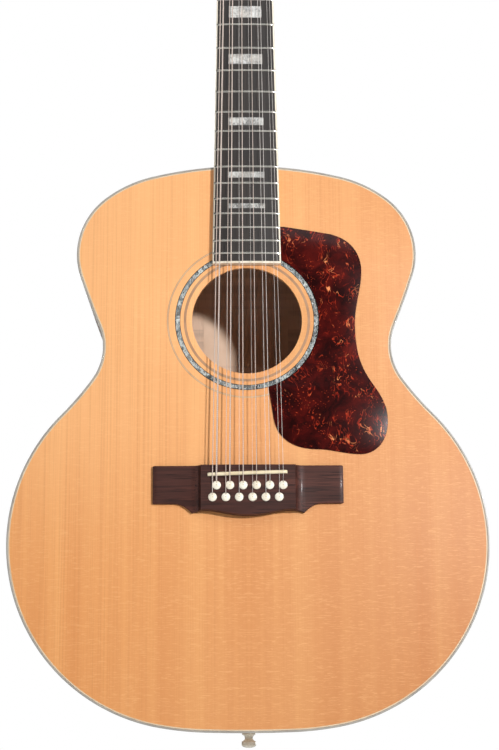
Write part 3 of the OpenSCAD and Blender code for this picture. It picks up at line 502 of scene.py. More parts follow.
def shell(name, base, tints, scale, amount):
    """Mother of pearl or abalone: flakes of a few tints, with a painted white shimmer over them."""
    p = Paint(name, 0.16, coat=0.7, coat_rough=0.05)
    warp = p.noise(p.space, 240, 3, 0.5, 1.5, colour=True)
    flakes = p.cells(p.mix(0.012, p.space, warp, "ADD"), scale, "Color")
    tint, gloss, _ = p.node("SeparateColor", {0: flakes}).outputs
    stops = [((k + 0.5) / len(tints), t) for k, t in enumerate(tints)]
    colour = p.mix(amount, base, p.ramp(tint, *stops))
    ripple = p.noise(p.at((700, 700, 180)), 1.0, 2, 0.5, 2.0)
    # painted shimmer: white painted highlights where the ripple is high
    colour = p.tint(colour, p.band(ripple, 0.5, 0.62), 0.35, (1, 1, 1, 1))
    return p.done(colour, p.maths("ADD", p.times(gloss, 0.12), 0.1), ripple, 0.00002, 0.3)


MARKS_SCALE = 22


def smooth(name, light, dark, scale, rough, coat=0.4, coat_rough=0.06, grain=(1, 1, 1), metallic=0.0,
           spread=0.1):
    """Plastic, bone or metal: two close tones in soft clouds, with uneven gloss and fine marks."""
    p = Paint(name, rough, metallic, coat, coat_rough)
    clouds = p.noise(p.at([g * scale for g in grain]), 1.0, 4, 0.55, 0.3)
    marks = p.noise(p.at([g * scale * MARKS_SCALE for g in grain]), 1.0, 3, 0.6)
    colour = p.ramp(clouds, (0.35, dark), (0.65, light))
    roughness = p.maths("ADD", p.times(marks, spread), max(rough - spread / 2, 0.02))
    return p.done(colour, roughness, marks, 0.00002, 0.4)


WRAP_PITCH = 0.00045


def wound(name, light, dark):
    """String wrapped with round wire: close ridges across its length."""
    p = Paint(name, 0.32, 0.6)
    ridges = p.node("TexWave", {"Vector": p.space, "Scale": 0.5 / WRAP_PITCH / (2 * pi)},
                    bands_direction="Z").outputs["Fac"]
    # painted shade in the grooves between the wraps and painted light on their crests
    colour = p.tint(dark, ridges, 0.5, light)
    return p.done(colour, None, ridges, 0.00008, 0.8)


ROSEWOOD = ((118, 62, 40), (84, 42, 28), (52, 26, 19))
MAPLE = ((248, 220, 196), (240, 206, 180), (224, 184, 154))
MAHOGANY = ((176, 104, 66), (150, 82, 50), (118, 60, 36))
M_SPRUCE = spruce_top()
M_BACK = wood("maple_back", MAPLE, (500, 500, 40), pores=0.12, rough=0.3, coat=0.7, coat_rough=0.06,
              bookmatched=True, bands=(30, 30, 5), flame=0.5, flame_scale=(4, 4, 130))
M_SIDE = wood("maple_side", MAPLE, (500, 500, 500), figure=0.4, pores=0.1, rough=0.3, coat=0.7,
              coat_rough=0.06, bands=(4, 30, 4), flame=0.45, flame_scale=(90, 8, 90))
M_BRIDGE = wood("rosewood_bridge", ((98, 56, 46), (72, 41, 35), (48, 28, 24)), (26, 900, 900),
                figure=0.9, pores=0.8, streak=0.5, streak_colour=(34, 20, 18), rough=0.5, coat=0.04,
                bands=(4, 90, 90))
M_BRIDGE.node_tree.nodes["Principled BSDF"].inputs["Specular IOR Level"].default_value = 0.2
M_VENEER = wood("rosewood_veneer", ROSEWOOD, (800, 800, 22), pores=0.7, streak=0.6, rough=0.26, coat=0.9,
                coat_rough=0.04, bands=(50, 50, 3))
M_NECK = wood("mahogany_neck", MAHOGANY, (850, 850, 22), figure=0.8, pores=0.7, rough=0.3, coat=0.6,
              coat_rough=0.08, bands=(45, 45, 2.5))
M_BLOCK = wood("mahogany_block", MAHOGANY, (700, 30, 700), figure=0.8, pores=0.7, rough=0.7, coat=0.0)
M_EBONY = wood("ebony", ((50, 43, 40), (38, 32, 30), (26, 22, 21)), (1100, 1100, 20), figure=0.9,
               pores=0.5, streak=0.25, streak_colour=(70, 56, 48), rough=0.5, coat=0.05,
               bands=(120, 120, 4))
M_BRACE = wood("brace_spruce", ((238, 204, 158), (226, 186, 136), (206, 162, 110)),
               (700, 700, 60), figure=0.9, pores=0.15, rough=0.72, coat=0.0)
M_LINING = wood("lining_wood", ((216, 168, 118), (198, 148, 98), (176, 124, 78)), (600, 60, 600),
                figure=0.8, pores=0.4, rough=0.75, coat=0.0)
M_MAPLE = wood("maple", ((226, 192, 148), (210, 172, 124), (190, 150, 104)), (60, 700, 700),
               figure=0.7, pores=0.2, rough=0.65, coat=0.0)
M_IVOROID = smooth("ivoroid", (240, 231, 214), (228, 216, 194), 60, 0.3, grain=(1, 1, 0.08))
# the ivoroid binding is painted grey all over: painted shade, as on its shaded outer edge
M_SHADED_BINDING = smooth("binding_painted_shade", (166, 161, 152), (148, 143, 136), 50, 0.36, coat=0.2)
M_CREAM = smooth("cream_line", (222, 202, 172), (206, 184, 154), 60, 0.36, coat=0.2)
M_TAN = smooth("tan_line", (184, 142, 108), (158, 120, 90), 60, 0.4, coat=0.1)
M_STRAW = smooth("straw_line", (214, 176, 138), (198, 160, 124), 60, 0.4, coat=0.1)
M_BLACK = smooth("black_plastic", (30, 28, 28), (18, 17, 17), 50, 0.22, coat=0.6, coat_rough=0.04)
M_BONE = smooth("bone", (240, 228, 198), (220, 202, 164), 90, 0.34, grain=(0.3, 1, 1))
M_PIN = smooth("pin_plastic", (246, 240, 224), (232, 222, 200), 120, 0.22, coat=0.6)
M_DOT = smooth("pin_dot", (206, 190, 164), (186, 168, 140), 300, 0.2, coat=0.8)
M_PEARL = shell("pearl", (160, 158, 154),
                [(206, 206, 202), (128, 130, 130), (182, 176, 168), (108, 108, 106)],
                150, 0.7)
M_SHELL = shell("abalone", (96, 104, 104),
                [(22, 26, 28), (132, 142, 142), (78, 84, 86), (206, 212, 208),
                 (88, 98, 100), (120, 112, 104)], 300, 0.9)
M_GUARD = tortoiseshell()
M_NICKEL = smooth("nickel_silver", (226, 224, 216), (200, 198, 190), 120, 0.2, 0.0, metallic=1.0)
M_STEEL = smooth("steel", (170, 172, 176), (132, 134, 138), 120, 0.34, 0.0, metallic=1.0)
M_STRING = smooth("string_steel", (255, 250, 246), (240, 230, 224), 200, 0.36, 0.0, metallic=0.6)
M_BRONZE = wound("string_bronze", (255, 246, 238), (226, 206, 194))
M_BRASS = smooth("string_brass", (214, 176, 98), (180, 140, 70), 200, 0.28, 0.0, metallic=1.0)
M_GOLD = smooth("gold_plate", (244, 204, 122), (222, 176, 92), 60, 0.17, 0.0, metallic=1.0,
                spread=0.08)
M_ROD = smooth("rod_brass", (206, 168, 92), (170, 132, 66), 140, 0.3, 0.0, metallic=1.0)
M_PAPER = smooth("label_paper", (242, 210, 184), (234, 200, 172), 60, 0.85, 0.0)


# ---- soundboard, edges and inlays ----
TOP_T, BINDING_W, BINDING_H, LINE_W, PROUD = 2.9, 1.8, 6.0, 1.12, 0.05
LINE_DEPTH = 1.2


def hole_circle(r):
    return circle(r, (0, HOLE_Y), HOLE_STEPS)


piece("soundboard_plate", plate([outline(BINDING_W), hole_circle(HOLE_R)], -TOP_T, 0, 0.25),
      STAND, M_SPRUCE, "spruce_top", ["soundboard"])
piece("top_rim", plate([outline(0), outline(BINDING_W)], -BINDING_H, 0, 0.45),
      STAND, M_SHADED_BINDING, "ivoroid", ["top_binding"])
piece("top_edge_line", plate([outline(BINDING_W + 0.1), outline(BINDING_W + LINE_W)],
                             -LINE_DEPTH, PROUD, 0.03, 1), STAND, M_CREAM, "ivoroid")


def ring_set(name, radii, material, slot, nodes=()):
    """Inlaid rings round the soundhole, one piece for each material."""
    lump = Lump()
    for inner, outer in radii:
        lump.add(plate([hole_circle(outer), hole_circle(inner)], -LINE_DEPTH, PROUD, 0.04, 1))
    piece(name, lump, STAND, material, slot, nodes)


ring_set("rosette_shell", [(61.45, 65.3)], M_SHELL, "shell", ["rosette"])
ring_set("rosette_dark_lines", [(61.0, 61.45), (65.3, 65.8)], M_BLACK, "black_plastic")
ring_set("rosette_brown_lines", [(55.4, 57.8), (71.6, 71.8), (73.0, 73.2)], M_TAN, "black_plastic")
ring_set("rosette_light_lines", [(71.8, 73.0)], M_STRAW, "ivoroid")

# ---- pickguard: from the fingerboard's edge round both lobes and back to the rosette
GUARD_CURVES = [((26, 233), (44, 230), (60, 227.5), (76, 224.5), 6),
                ((76, 224.5), (95, 220.5), (105.5, 207), (105.6, 189), 18),
                ((105.6, 189), (105.6, 172), (98.5, 156), (98.6, 136), 12),
                ((98.6, 136), (98.7, 108), (104, 95), (115.5, 78.5), 14),
                ((115.5, 78.5), (122.5, 68), (126.4, 60), (126.4, 48), 12),
                ((126.4, 48), (126.4, 29), (116, 16), (100.5, 16.3), 18),
                ((100.5, 16.3), (86, 16.6), (76, 20.9), (62, 21), 8),
                ((62, 21), (42, 21.2), (23, 30), (22.6, 58), 18)]
GUARD_T, GUARD_HOLE_R, GUARD_LOW, GUARD_STEPS = 1.0, 65.8, 40, 60


def guard_outline():
    """The curves, then the rosette's arc, then the straight side along the fingerboard."""
    centre = Vector((0, HOLE_Y))
    points = [Vector((p.x, p.y + SADDLE_Y)) for c in GUARD_CURVES for p in cubic(*c)]
    points = [p for p in points if (p - centre).length > GUARD_HOLE_R
              and (p.x > board_half(p.y) - 0.01 or p.y < HOLE_Y - GUARD_LOW)]
    corner = Vector((board_half(points[0].y), points[0].y))
    y = max(BOARD_END, HOLE_Y)
    while (Vector((board_half(y), y)) - centre).length < GUARD_HOLE_R:
        y += 0.1
    low, high = (atan2(p.y - HOLE_Y, p.x) for p in (points[-1], Vector((board_half(y), y))))
    arc = [centre + GUARD_HOLE_R * Vector((cos(a), sin(a))) for a in spaced(low, high, GUARD_STEPS)[1:]]
    return points + arc + [corner]


piece("pickguard_plate", plate([guard_outline()], 0, GUARD_T, 0.4, 3, 0.02), STAND, M_GUARD, "tortoiseshell",
      ["pickguard"])


# ---- back, sides and their edges ----
WALL_T, WALL_ROWS = 2.4, 10


def half_wall(mirror):
    """A bent side: rows of points up its outer face and down its inner face."""
    heights = spaced(0, 1, WALL_ROWS)
    rows = [(half_outline(0.0), t) for t in heights] + [(half_outline(WALL_T), t) for t in heights[::-1]]
    verts = [(mirror * p.x, p.y, back_z(p.x, p.y, BINDING_H) * (1 - t) - BINDING_H * t)
             for loop, t in rows for p in loop]
    n, ring = len(rows[0][0]), len(rows)
    faces = [[k * n + j, k * n + j + 1, (k + 1) % ring * n + j + 1, (k + 1) % ring * n + j]
             for k in range(ring) for j in range(n - 1)]
    faces += [[k * n + j for k in range(ring)] for j in (0, n - 1)]
    return verts, faces


piece("side_wall_treble", half_wall(1), STAND, M_SIDE, "maple", ["side_treble"])
piece("side_wall_bass", half_wall(-1), STAND, M_SIDE, "maple", ["side_bass"])


def inside(loop, x, y):
    odd = False
    for a, b in sides_of(loop):
        if (a[1] > y) != (b[1] > y) and x < (b[0] - a[0]) * (y - a[1]) / (b[1] - a[1]) + a[0]:
            odd = not odd
    return odd


GRID_X, GRID_Y, GRID_MARGIN = 12.0, 24.0, 3.0


def arched_plate(loop, thick):
    """Plate that follows the back's arch: a triangulated grid inside the loop, twice, with a rim."""
    xs, ys = [p[0] for p in loop], [p[1] for p in loop]
    inner = offset_loop(loop, GRID_MARGIN)
    columns = range(int(min(xs) // GRID_X), ceil(max(xs) / GRID_X))
    rows = range(ceil(max(ys) / GRID_Y))
    grid = [Vector((i * GRID_X, j * GRID_Y)) for i in columns for j in rows
            if inside(inner, i * GRID_X, j * GRID_Y)]
    n = len(loop)
    flat = [Vector(p[:2]) for p in loop] + grid
    border = [(k, (k + 1) % n) for k in range(n)]
    points, _, triangles = delaunay_2d_cdt(flat, border, [list(range(n))], 1, 1e-4)[:3]
    verts = [(p.x, p.y, back_z(p.x, p.y, depth)) for depth in (0.0, thick) for p in points]
    m = len(points)
    faces = [list(t) for t in triangles] + [[m + k for k in reversed(t)] for t in triangles]
    sides = dict.fromkeys((a, b) for t in triangles for a, b in zip(t, [*t[1:], t[0]]))
    return verts, faces + [[b, a, m + a, m + b] for a, b in sides if (b, a) not in sides]


BACK_T = 2.8
piece("back_plate", arched_plate(outline(BINDING_W), BACK_T), STAND, M_BACK, "maple", ["back"], sharp=50)


def rim_band(width, depth, round_r=0.6, steps=4):
    """Band round the back's edge with a rounded outer corner."""
    def at_depth(inset, d):
        return [(p.x, p.y, back_z(p.x, p.y, d)) for p in outline(inset)]

    turns = spaced(0, pi / 2, steps)
    rings = [at_depth(width, depth), at_depth(0, depth)]
    rings += [at_depth(round_r * (1 - cos(a)), round_r * (1 - sin(a))) for a in turns]
    rings.append(at_depth(width, 0.0))
    return loft(rings + rings[:1], (False, False))


piece("back_rim", rim_band(BINDING_W, BINDING_H), STAND, M_SHADED_BINDING, "ivoroid", ["back_binding"])

# ---- label inside the body, blank
LABEL_Y, LABEL_HALF, LABEL_T = (356, 414), 42, 0.2
label_section = list(zip(LABEL_Y + LABEL_Y[::-1], (0.02, 0.02, LABEL_T, LABEL_T)))
label = loft([[(x, y, back_z(x, y, BACK_T + t)) for y, t in label_section]
              for x in range(-LABEL_HALF, LABEL_HALF + 1, 7)])
piece("blank_label", label, STAND, M_PAPER, "maple")

# ---- neck: half-oval sections that grow into the heel and spread into the headstock
HEEL_LEN, HEEL_FLAT, HEEL_DEPTH = 56.0, 15.0, 99.6
DEPTH_NUT, DEPTH_HEEL = 15.0, 18.5
HEAD_T, VENEER_T = 14.0, 1.6
HEAD_LOW, HEAD_TOP, HEAD_LEN = 36.0, 40.0, 199.0
SHOULDER_V, CORNER_V, CORNER_R, CROWN_R = 20.0, 190.0, 9.0, 130.0


SECTION_STEPS, HEEL_TAPER = 44, 0.58


def section(half, depth, square, taper=0.0):
    """Points of the neck's cross-section below the fingerboard, as (x, z)."""
    points = []
    for t in spaced(0, pi, SECTION_STEPS):
        c, s = cos(t), max(sin(t), 0.0)
        x, z = copysign(abs(c) ** (2 / square), c), s ** (2 / square)
        points.append((half * x * (1 - taper * z), -depth * z))
    return points


def flare(v):
    t = min(v / SHOULDER_V, 1)
    return NUT_HALF + (HEAD_LOW - NUT_HALF) * t * t * (3 - 2 * t)


def shaft_depth(y):
    return DEPTH_NUT + (DEPTH_HEEL - DEPTH_NUT) * (NUT_Y - y) / (NUT_Y - BODY_LEN - HEEL_LEN)


def neck_rings():
    """Sections from the headstock's shoulders, past the nut and down the shaft, to the heel."""
    rings = []
    tilt, inset = radians(HEAD_TILT), 0.12
    for v in (SHOULDER_V - 0.5 * k for k in range(38)):
        t = v / SHOULDER_V
        points = section(flare(v) - inset, HEAD_T - 0.2 + 0.9 * (1 - t) ** 2, 2.4 + 9 * t ** 2)
        rings.append([(x, HEAD_Y + v * cos(tilt) + (z - inset) * sin(tilt),
                       (z - inset) * cos(tilt) - v * sin(tilt)) for x, z in points])
    rings.append([(x, HEAD_Y + z * sin(tilt / 2), z * cos(tilt / 2))
                  for x, z in section(NUT_HALF, DEPTH_NUT, 2.3)])
    start = BODY_LEN + HEEL_LEN
    for y in spaced(NUT_Y, start, 12)[:-1]:
        rings.append([(x, y, z) for x, z in section(board_half(y), shaft_depth(y), 2.2)])
    for a in spaced(0, pi / 2, 30):
        rise = 1 - cos(a)
        y = start - (HEEL_LEN - HEEL_FLAT) * sin(a)
        depth = DEPTH_HEEL + (HEEL_DEPTH - DEPTH_HEEL) * rise
        points = section(board_half(y), depth, 2.2 + 1.6 * sin(a), HEEL_TAPER * rise)
        rings.append([(x, y, z) for x, z in points])
    rings.append([(x, BODY_LEN - 1.5, z)
                  for x, z in section(board_half(BODY_LEN), HEEL_DEPTH, 3.8, HEEL_TAPER)])
    return rings


piece("neck_shaft", loft(neck_rings()), STAND, M_NECK, "mahogany", ["neck"], sharp=50)


def head_outline(start):
    """The headstock from a distance beyond the nut: spreading shoulders, rounded corners and a crown."""
    half = [Vector((flare(v), v)) for v in spaced(start, SHOULDER_V, 12)]
    corner = Vector((HEAD_TOP - CORNER_R, CORNER_V - CORNER_R))
    half += [corner + CORNER_R * Vector((cos(a), sin(a))) for a in (radians(6 * k) for k in range(13))]
    half += [Vector((CROWN_R * sin(a), HEAD_LEN - CROWN_R + CROWN_R * cos(a)))
             for a in (radians(12 - k) for k in range(13))]
    half[-1].x = 0.0
    return half + [Vector((-p.x, p.y)) for p in reversed(half[:-1])]


TO_HEAD = LEAN.inverted()
STRINGS = range(12)
TUNERS = range(1, 13)
# each tuner's own frame, on its post's axis, with x to the nearer edge of the headstock
TUNER_FRAME = {}
for joint in frame["joints"]:
    if joint["name"].startswith("post_turn_"):
        at = TO_HEAD @ Vector(joint["pos_m"])
        flip = Matrix.Scale(-1, 4, (1, 0, 0)) if at.x < 0 else Matrix.Identity(4)
        TUNER_FRAME[int(joint["name"].rsplit("_", 1)[1])] = LEAN @ Matrix.Translation((at.x, at.y, 0)) @ flip

holes = [circle(4.5, (TO_HEAD @ TUNER_FRAME[i].translation)[:2], 32) for i in TUNERS]
piece("headstock_plate", plate([head_outline(16)] + holes, -HEAD_T, 0, 0.3, 3, 1.4), LEAN, M_NECK, "mahogany")
piece("headstock_face", plate([head_outline(0.6)] + holes, 0.02, VENEER_T, 0.5, 3, 0.05), LEAN, M_VENEER,
      "rosewood", ["headstock_veneer"])

CAP_HALF, CAP_ROUND = 12.6, 8
CAP_Y = BODY_LEN + HEEL_FLAT - CAP_ROUND
cap = [(CAP_HALF, BODY_LEN - 1), (CAP_HALF, CAP_Y)]
cap += [(CAP_HALF * cos(a), CAP_Y + CAP_ROUND * sin(a)) for a in spaced(0, pi, 24)[1:-1]]
cap += [(-CAP_HALF, CAP_Y), (-CAP_HALF, BODY_LEN - 1)]
piece("heel_end_cap", plate([cap], -HEEL_DEPTH - 2.4, -HEEL_DEPTH + 0.1, 0.5, 3, 0.8), STAND, M_IVOROID,
      "ivoroid", ["heel_cap"])


# ---- fingerboard, frets, markers and nut ----
SIDE_W, END_W = 1.4, 2.0


def arched_strip(y_list, thick, steps=20):
    """The board's middle, between its bound sides, under its arched face."""
    rings = []
    for y in y_list:
        half = board_half(y) - SIDE_W
        rings.append([(x, y, thick + arch(x)) for x in spaced(-half, half, steps)]
                     + [(half, y, 0.0), (-half, y, 0.0)])
    return loft(rings)


def bound_side(y):
    """Section of a side's binding with an eased top corner, as (distance from the edge, z)."""
    half = board_half(y)
    top = BOARD_T + arch(half)
    return [(SIDE_W, 0), (0, 0), (0, top - 0.35), (0.1, top - 0.1), (0.35, top),
            (SIDE_W, BOARD_T + arch(half - SIDE_W))]


piece("fingerboard_wood", arched_strip([BOARD_END + END_W, NUT_Y], BOARD_T), STAND, M_EBONY, "ebony",
      ["fingerboard"])
edges = Lump()
for s in (1, -1):
    edges.add(loft([[(s * (board_half(y) - d), y, z) for d, z in bound_side(y)]
                    for y in (BOARD_END + 0.01, NUT_Y)]))
edges.add(arched_strip([BOARD_END, BOARD_END + END_W], BOARD_T))
piece("fingerboard_edges", edges, STAND, M_IVOROID, "ivoroid", ["fingerboard_binding"])

FRET_W, FRET_H, FRETS = 2.2, 1.1, 20
FRET_SHORT, FRET_ROUND, FRET_STEPS = 0.6, 1.2, 24
wires = Lump()
for n in range(1, FRETS + 1):
    y = fret_y(n)
    half = board_half(y) - FRET_SHORT
    rings = []
    for x in spaced(-half, half, FRET_STEPS):
        height = FRET_H * min(1, max(0.12, (half - abs(x)) / FRET_ROUND)) ** 0.5
        rings.append([(x, y + FRET_W / 2 * cos(a), BOARD_T + arch(x) + height * sin(a) - 0.02)
                      for a in spaced(0, pi, 8)])
    wires.add(loft(rings))
piece("fret_wires", wires, STAND, M_NICKEL, "nickel_silver", ["frets"])

MARKED = [1, 3, 5, 7, 9, 12, 15, 17]
MARKER_LEN, MARKER_SHORT, MARKER_W, MARKER_FLOOR = 0.637, 4.6, 0.565, 4.5
markers = Lump()
for n in MARKED:
    space, mid = fret_y(n - 1) - fret_y(n), (fret_y(n - 1) + fret_y(n)) / 2
    half_len, half_w = (MARKER_LEN * space - MARKER_SHORT) / 2, MARKER_W * board_half(mid)
    face = [(x, BOARD_T + arch(x) + PROUD) for x in spaced(-half_w, half_w, 12)]
    markers.add(loft([[(x, y, z) for x, z in face + [(half_w, MARKER_FLOOR), (-half_w, MARKER_FLOOR)]]
                      for y in (mid - half_len, mid + half_len)]))
piece("pearl_blocks", markers, STAND, M_PEARL, "pearl", ["position_markers"])

# ---- strings: radius in millimetres, from the bass side; thick ones are wound
STRING_R = [0.38, 0.68, 0.29, 0.53, 0.18, 0.41, 0.12, 0.3, 0.2, 0.2, 0.15, 0.15]
BRIDGE_H, SADDLE_TOP = 9.2, 12.2
SADDLE_MID, SADDLE_SLOPE, SADDLE_HALF_T = -2.2, 1 / 31, 1.6
PIN_ROW = [SADDLE_Y - 23.6, SADDLE_Y - 12.95]
PIN_R, PIN_HEAD_R, PIN_RIM, PIN_DOME = 2.55, 3.9, 0.4, 1.6
NUT_STRING_Z = BOARD_T + FRET_H + 0.6
POST_R, WRAP_W = 3.0, 7.0


def spread(i, course, gap):
    """Distance of a string from the centreline, for a pitch of its courses and a gap in each pair."""
    return (i // 2 - 2.5) * course + (i % 2 - 0.5) * gap


def pin_x(i):
    return spread(i, 11.8, 3.6) - 0.3


def saddle_point(i):
    x = spread(i, 11.86, 3.55) - 0.2
    y = SADDLE_Y + SADDLE_MID + SADDLE_SLOPE * x - SADDLE_HALF_T - 0.1
    return Vector((x, y, SADDLE_TOP + arch(x) + STRING_R[i]))


def nut_point(i):
    x = spread(i, 7.48, 2.3)
    return Vector((x, NUT_Y, NUT_STRING_Z + arch(x) + STRING_R[i]))


def string_end(i):
    """Where a string meets its post, on the side that faces the centreline."""
    at = TO_HEAD @ TUNER_FRAME[i + 1].translation
    r = POST_R + 2.7 * STRING_R[i] + 0.15
    return TO_MM @ LEAN @ Vector((at.x - copysign(r, at.x), at.y, WRAP_W))


def string_path(i):
    up = Vector((pin_x(i), PIN_ROW[i % 2] + PIN_R, BRIDGE_H + 0.4))
    s, n, e = saddle_point(i), nut_point(i), string_end(i)
    back = n + Vector((0, HEAD_Y - NUT_Y, -0.35))
    # a softened bend where the string leaves its pin, and over the saddle and the nut
    path = [up + Vector((0, 0, -BRIDGE_H - 6)), up + Vector((0, 0, -1.2)), up + Vector((0, 0.25, -0.2))]
    path += [up.lerp(s, 0.08), s + (up - s).normalized() * 1.0, s + (n - s).normalized() * 1.0]
    path += [s.lerp(n, k / 12) for k in range(1, 12)]
    return path + [n, back, back.lerp(e, 0.02), back.lerp(e, 0.5), e]


def is_wound(i):
    return STRING_R[i] > 0.25


for kind, is_chosen, mat, slot in (("plain", lambda i: not is_wound(i), M_STRING, "string_steel"),
                                   ("wound", is_wound, M_BRONZE, "string_bronze")):
    lump = Lump()
    for i in filter(is_chosen, STRINGS):
        lump.add(tube(string_path(i), STRING_R[i]))
    piece(f"{kind}_string_set", lump, STAND, mat, slot, [f"{kind}_strings"], tidy=False)

# nut with a slot for each string, its top a low curve
NUT_STEPS, SLOT_ROOM = 60, 0.05
nut_xs = {-NUT_HALF, NUT_HALF} | {round(x, 3) for x in spaced(-NUT_HALF, NUT_HALF, NUT_STEPS)}
for i in STRINGS:
    slot_edge, slot_mid = STRING_R[i] + SLOT_ROOM + 0.01, STRING_R[i] * 0.7
    nut_xs |= {round(nut_point(i).x + d, 3) for d in (-slot_edge, -slot_mid, 0, slot_mid, slot_edge)}


def nut_top(x, along):
    """Height of the nut at x, a share of the way from the fingerboard to the headstock."""
    z = NUT_STRING_Z + 0.4 + arch(x) - 0.9 * along
    z -= 0.5 * max(0.0, (abs(x) - NUT_HALF + 0.8) / 0.8) ** 2
    for i in STRINGS:
        p, r = nut_point(i), STRING_R[i] + SLOT_ROOM
        if abs(x - p.x) < r:
            z = min(z, p.z - sqrt(r * r - (x - p.x) ** 2) - 0.3 * along)
    return z


nut = loft([[(x, NUT_Y, 0), (x, NUT_Y, nut_top(x, 0) - 0.15), (x, NUT_Y + 0.2, nut_top(x, 0)),
             (x, NUT_Y + 4.2, nut_top(x, 0.35)), (x, HEAD_Y - 0.3, nut_top(x, 0.95)),
             (x, HEAD_Y, nut_top(x, 1) - 0.4), (x, HEAD_Y, 0)] for x in sorted(nut_xs)])
piece("bone_nut", nut, STAND, M_BONE, "bone", ["nut"], sharp=30)

# ---- bridge: scooped wings, level middle, belly behind ----
BRIDGE_HALF_W, WING_H = 85.2, 3.4
BRIDGE_CURVES = [((66, -28.5), (60, -28.5), (56, -31), (49.6, -37), 14),
                 ((49.6, -37), (45, -35.2), (40, -34.6), (35, -34.8), 12),
                 ((35, -34.8), (25, -35.4), (16, -39.4), (0, -39.4), 20)]
BRIDGE_FRONT, BRIDGE_BACK, BRIDGE_CHAMFER = 5.8, -28.5, 0.8
SCOOP_DROP, SCOOP_START = BRIDGE_H - WING_H, 42.0
SCOOP_LEN = SCOOP_DROP * 1.6
BRIDGE_END, BRIDGE_STEPS = 84.9, 150


def bridge_outline():
    w, c = BRIDGE_HALF_W, BRIDGE_CHAMFER
    half = [Vector(p) for p in ((0, BRIDGE_FRONT), (w - c, BRIDGE_FRONT), (w, BRIDGE_FRONT - c),
                                (w, BRIDGE_BACK + c), (w - c, BRIDGE_BACK))]
    half += [p for curve in BRIDGE_CURVES for p in cubic(*curve)] + [Vector(BRIDGE_CURVES[-1][3])]
    return [Vector((p.x, p.y + SADDLE_Y)) for p in mirrored(half)]


def bridge_top(x):
    """Height of the bridge: level in the middle, scooped down to its wings, sloping at the very ends."""
    x = abs(x)
    if x <= SCOOP_START:
        return BRIDGE_H
    if x < SCOOP_START + SCOOP_LEN:
        t = 1 - (x - SCOOP_START) / SCOOP_LEN
        return BRIDGE_H - SCOOP_DROP * sqrt(max(1 - t * t, 0))
    slope = max(0.0, (x - BRIDGE_HALF_W + 3) / 4)
    return WING_H - 1.2 * min(slope, 1)


def on_loop_y(loop, x):
    """Lowest and highest y where a vertical line at x cuts the loop."""
    ys = [a.y + (b.y - a.y) * (x - a.x) / (b.x - a.x) for a, b in sides_of(loop)
          if min(a.x, b.x) <= x <= max(a.x, b.x) and a.x != b.x]
    return min(ys), max(ys)


def bridge_rings():
    loop = bridge_outline()
    belly_x = BRIDGE_CURVES[0][3][0]
    xs = {round(x, 3) for x in spaced(-BRIDGE_END, BRIDGE_END, BRIDGE_STEPS)}
    xs |= {s * x for s in (1, -1) for x in [belly_x] + spaced(SCOOP_START, SCOOP_START + SCOOP_LEN, 12)}
    rings = []
    for x in sorted(xs):
        (low, high), top = on_loop_y(loop, x), bridge_top(x)
        e = 0.7 if abs(x) < 84.6 else 0.35
        turns = spaced(0, pi / 2, 4)
        ring = [(x, low, 0.0)] + [(x, low + e * (1 - cos(a)), top - e * (1 - sin(a))) for a in turns]
        ring += [(x, high - e * (1 - sin(a)), top - e * (1 - cos(a))) for a in turns[:-1]]
        rings.append(ring + [(x, high, top - e), (x, high, 0.0)])
    return rings


piece("bridge_block", loft(bridge_rings()), STAND, M_BRIDGE, "rosewood", ["bridge"], sharp=40)

SADDLE_TURN = (Matrix.Translation((-0.5, SADDLE_Y + SADDLE_MID, 0))
               @ Matrix.Rotation(atan(SADDLE_SLOPE), 4, "Z"))
SADDLE_HALF, SADDLE_STEPS, SADDLE_FLOOR = 35.4, 40, 7.0
SADDLE_CROWN, SADDLE_ROUND, SADDLE_FALL = 1.1, 1.5, 0.9
saddle_rings = []
for x in spaced(-SADDLE_HALF, SADDLE_HALF, SADDLE_STEPS):
    fall = max(0.0, (abs(x) - SADDLE_HALF + SADDLE_ROUND) / SADDLE_ROUND)
    low = SADDLE_TOP + arch(x) - SADDLE_FALL * fall ** 2 - SADDLE_CROWN
    crown = [(x, SADDLE_HALF_T * cos(a), low + SADDLE_CROWN * sin(a))
             for a in spaced(0, pi, 8)[1:-1]]
    saddle_rings.append([(x, SADDLE_HALF_T, SADDLE_FLOOR), *crown, (x, -SADDLE_HALF_T, SADDLE_FLOOR)])
piece("saddle_bar", loft(saddle_rings), STAND @ SADDLE_TURN, M_BONE, "bone", ["saddle"])

DOT_R, DOT_DEPTH = 0.75, 0.7
DOT_Z = BRIDGE_H + PIN_RIM + PIN_DOME
PIN_SLOT_HALF, PIN_SLOT_Y = 0.5, 2.3


def pin_head():
    """Domed head on a tapered shaft, with a slot towards the saddle that the string leaves by."""
    profile = [(0.0, -12.8), (1.7, -12.8), (PIN_R, BRIDGE_H - 4), (PIN_R, BRIDGE_H + 0.02),
               (PIN_HEAD_R - 0.2, BRIDGE_H + 0.02), (PIN_HEAD_R, BRIDGE_H + 0.2)]
    profile += [(PIN_HEAD_R * cos(a), BRIDGE_H + PIN_RIM + PIN_DOME * sin(a))
                for a in (radians(7.5 * k) for k in range(12))]
    verts, faces = lathe(profile + [(0.0, DOT_Z)], 56)
    floor = BRIDGE_H + 0.05
    slotted = [(x, y, min(z, floor) if abs(x) < PIN_SLOT_HALF and y > PIN_SLOT_Y else z) for x, y, z in verts]
    return slotted, faces


pins, dots = Lump(), Lump()
dot = [(0.0, DOT_Z - DOT_DEPTH), (DOT_R, DOT_Z - DOT_DEPTH), (DOT_R, DOT_Z - 0.06), (0.4, DOT_Z - 0.01),
       (0.0, DOT_Z)]
for i in STRINGS:
    place = Matrix.Translation((pin_x(i), PIN_ROW[i % 2], 0))
    pins.add(pin_head(), place)
    dots.add(lathe(dot, 20), place)
piece("pin_set", pins, STAND, M_PIN, "bone", ["bridge_pins"])
piece("pin_dots", dots, STAND, M_DOT, "shell")

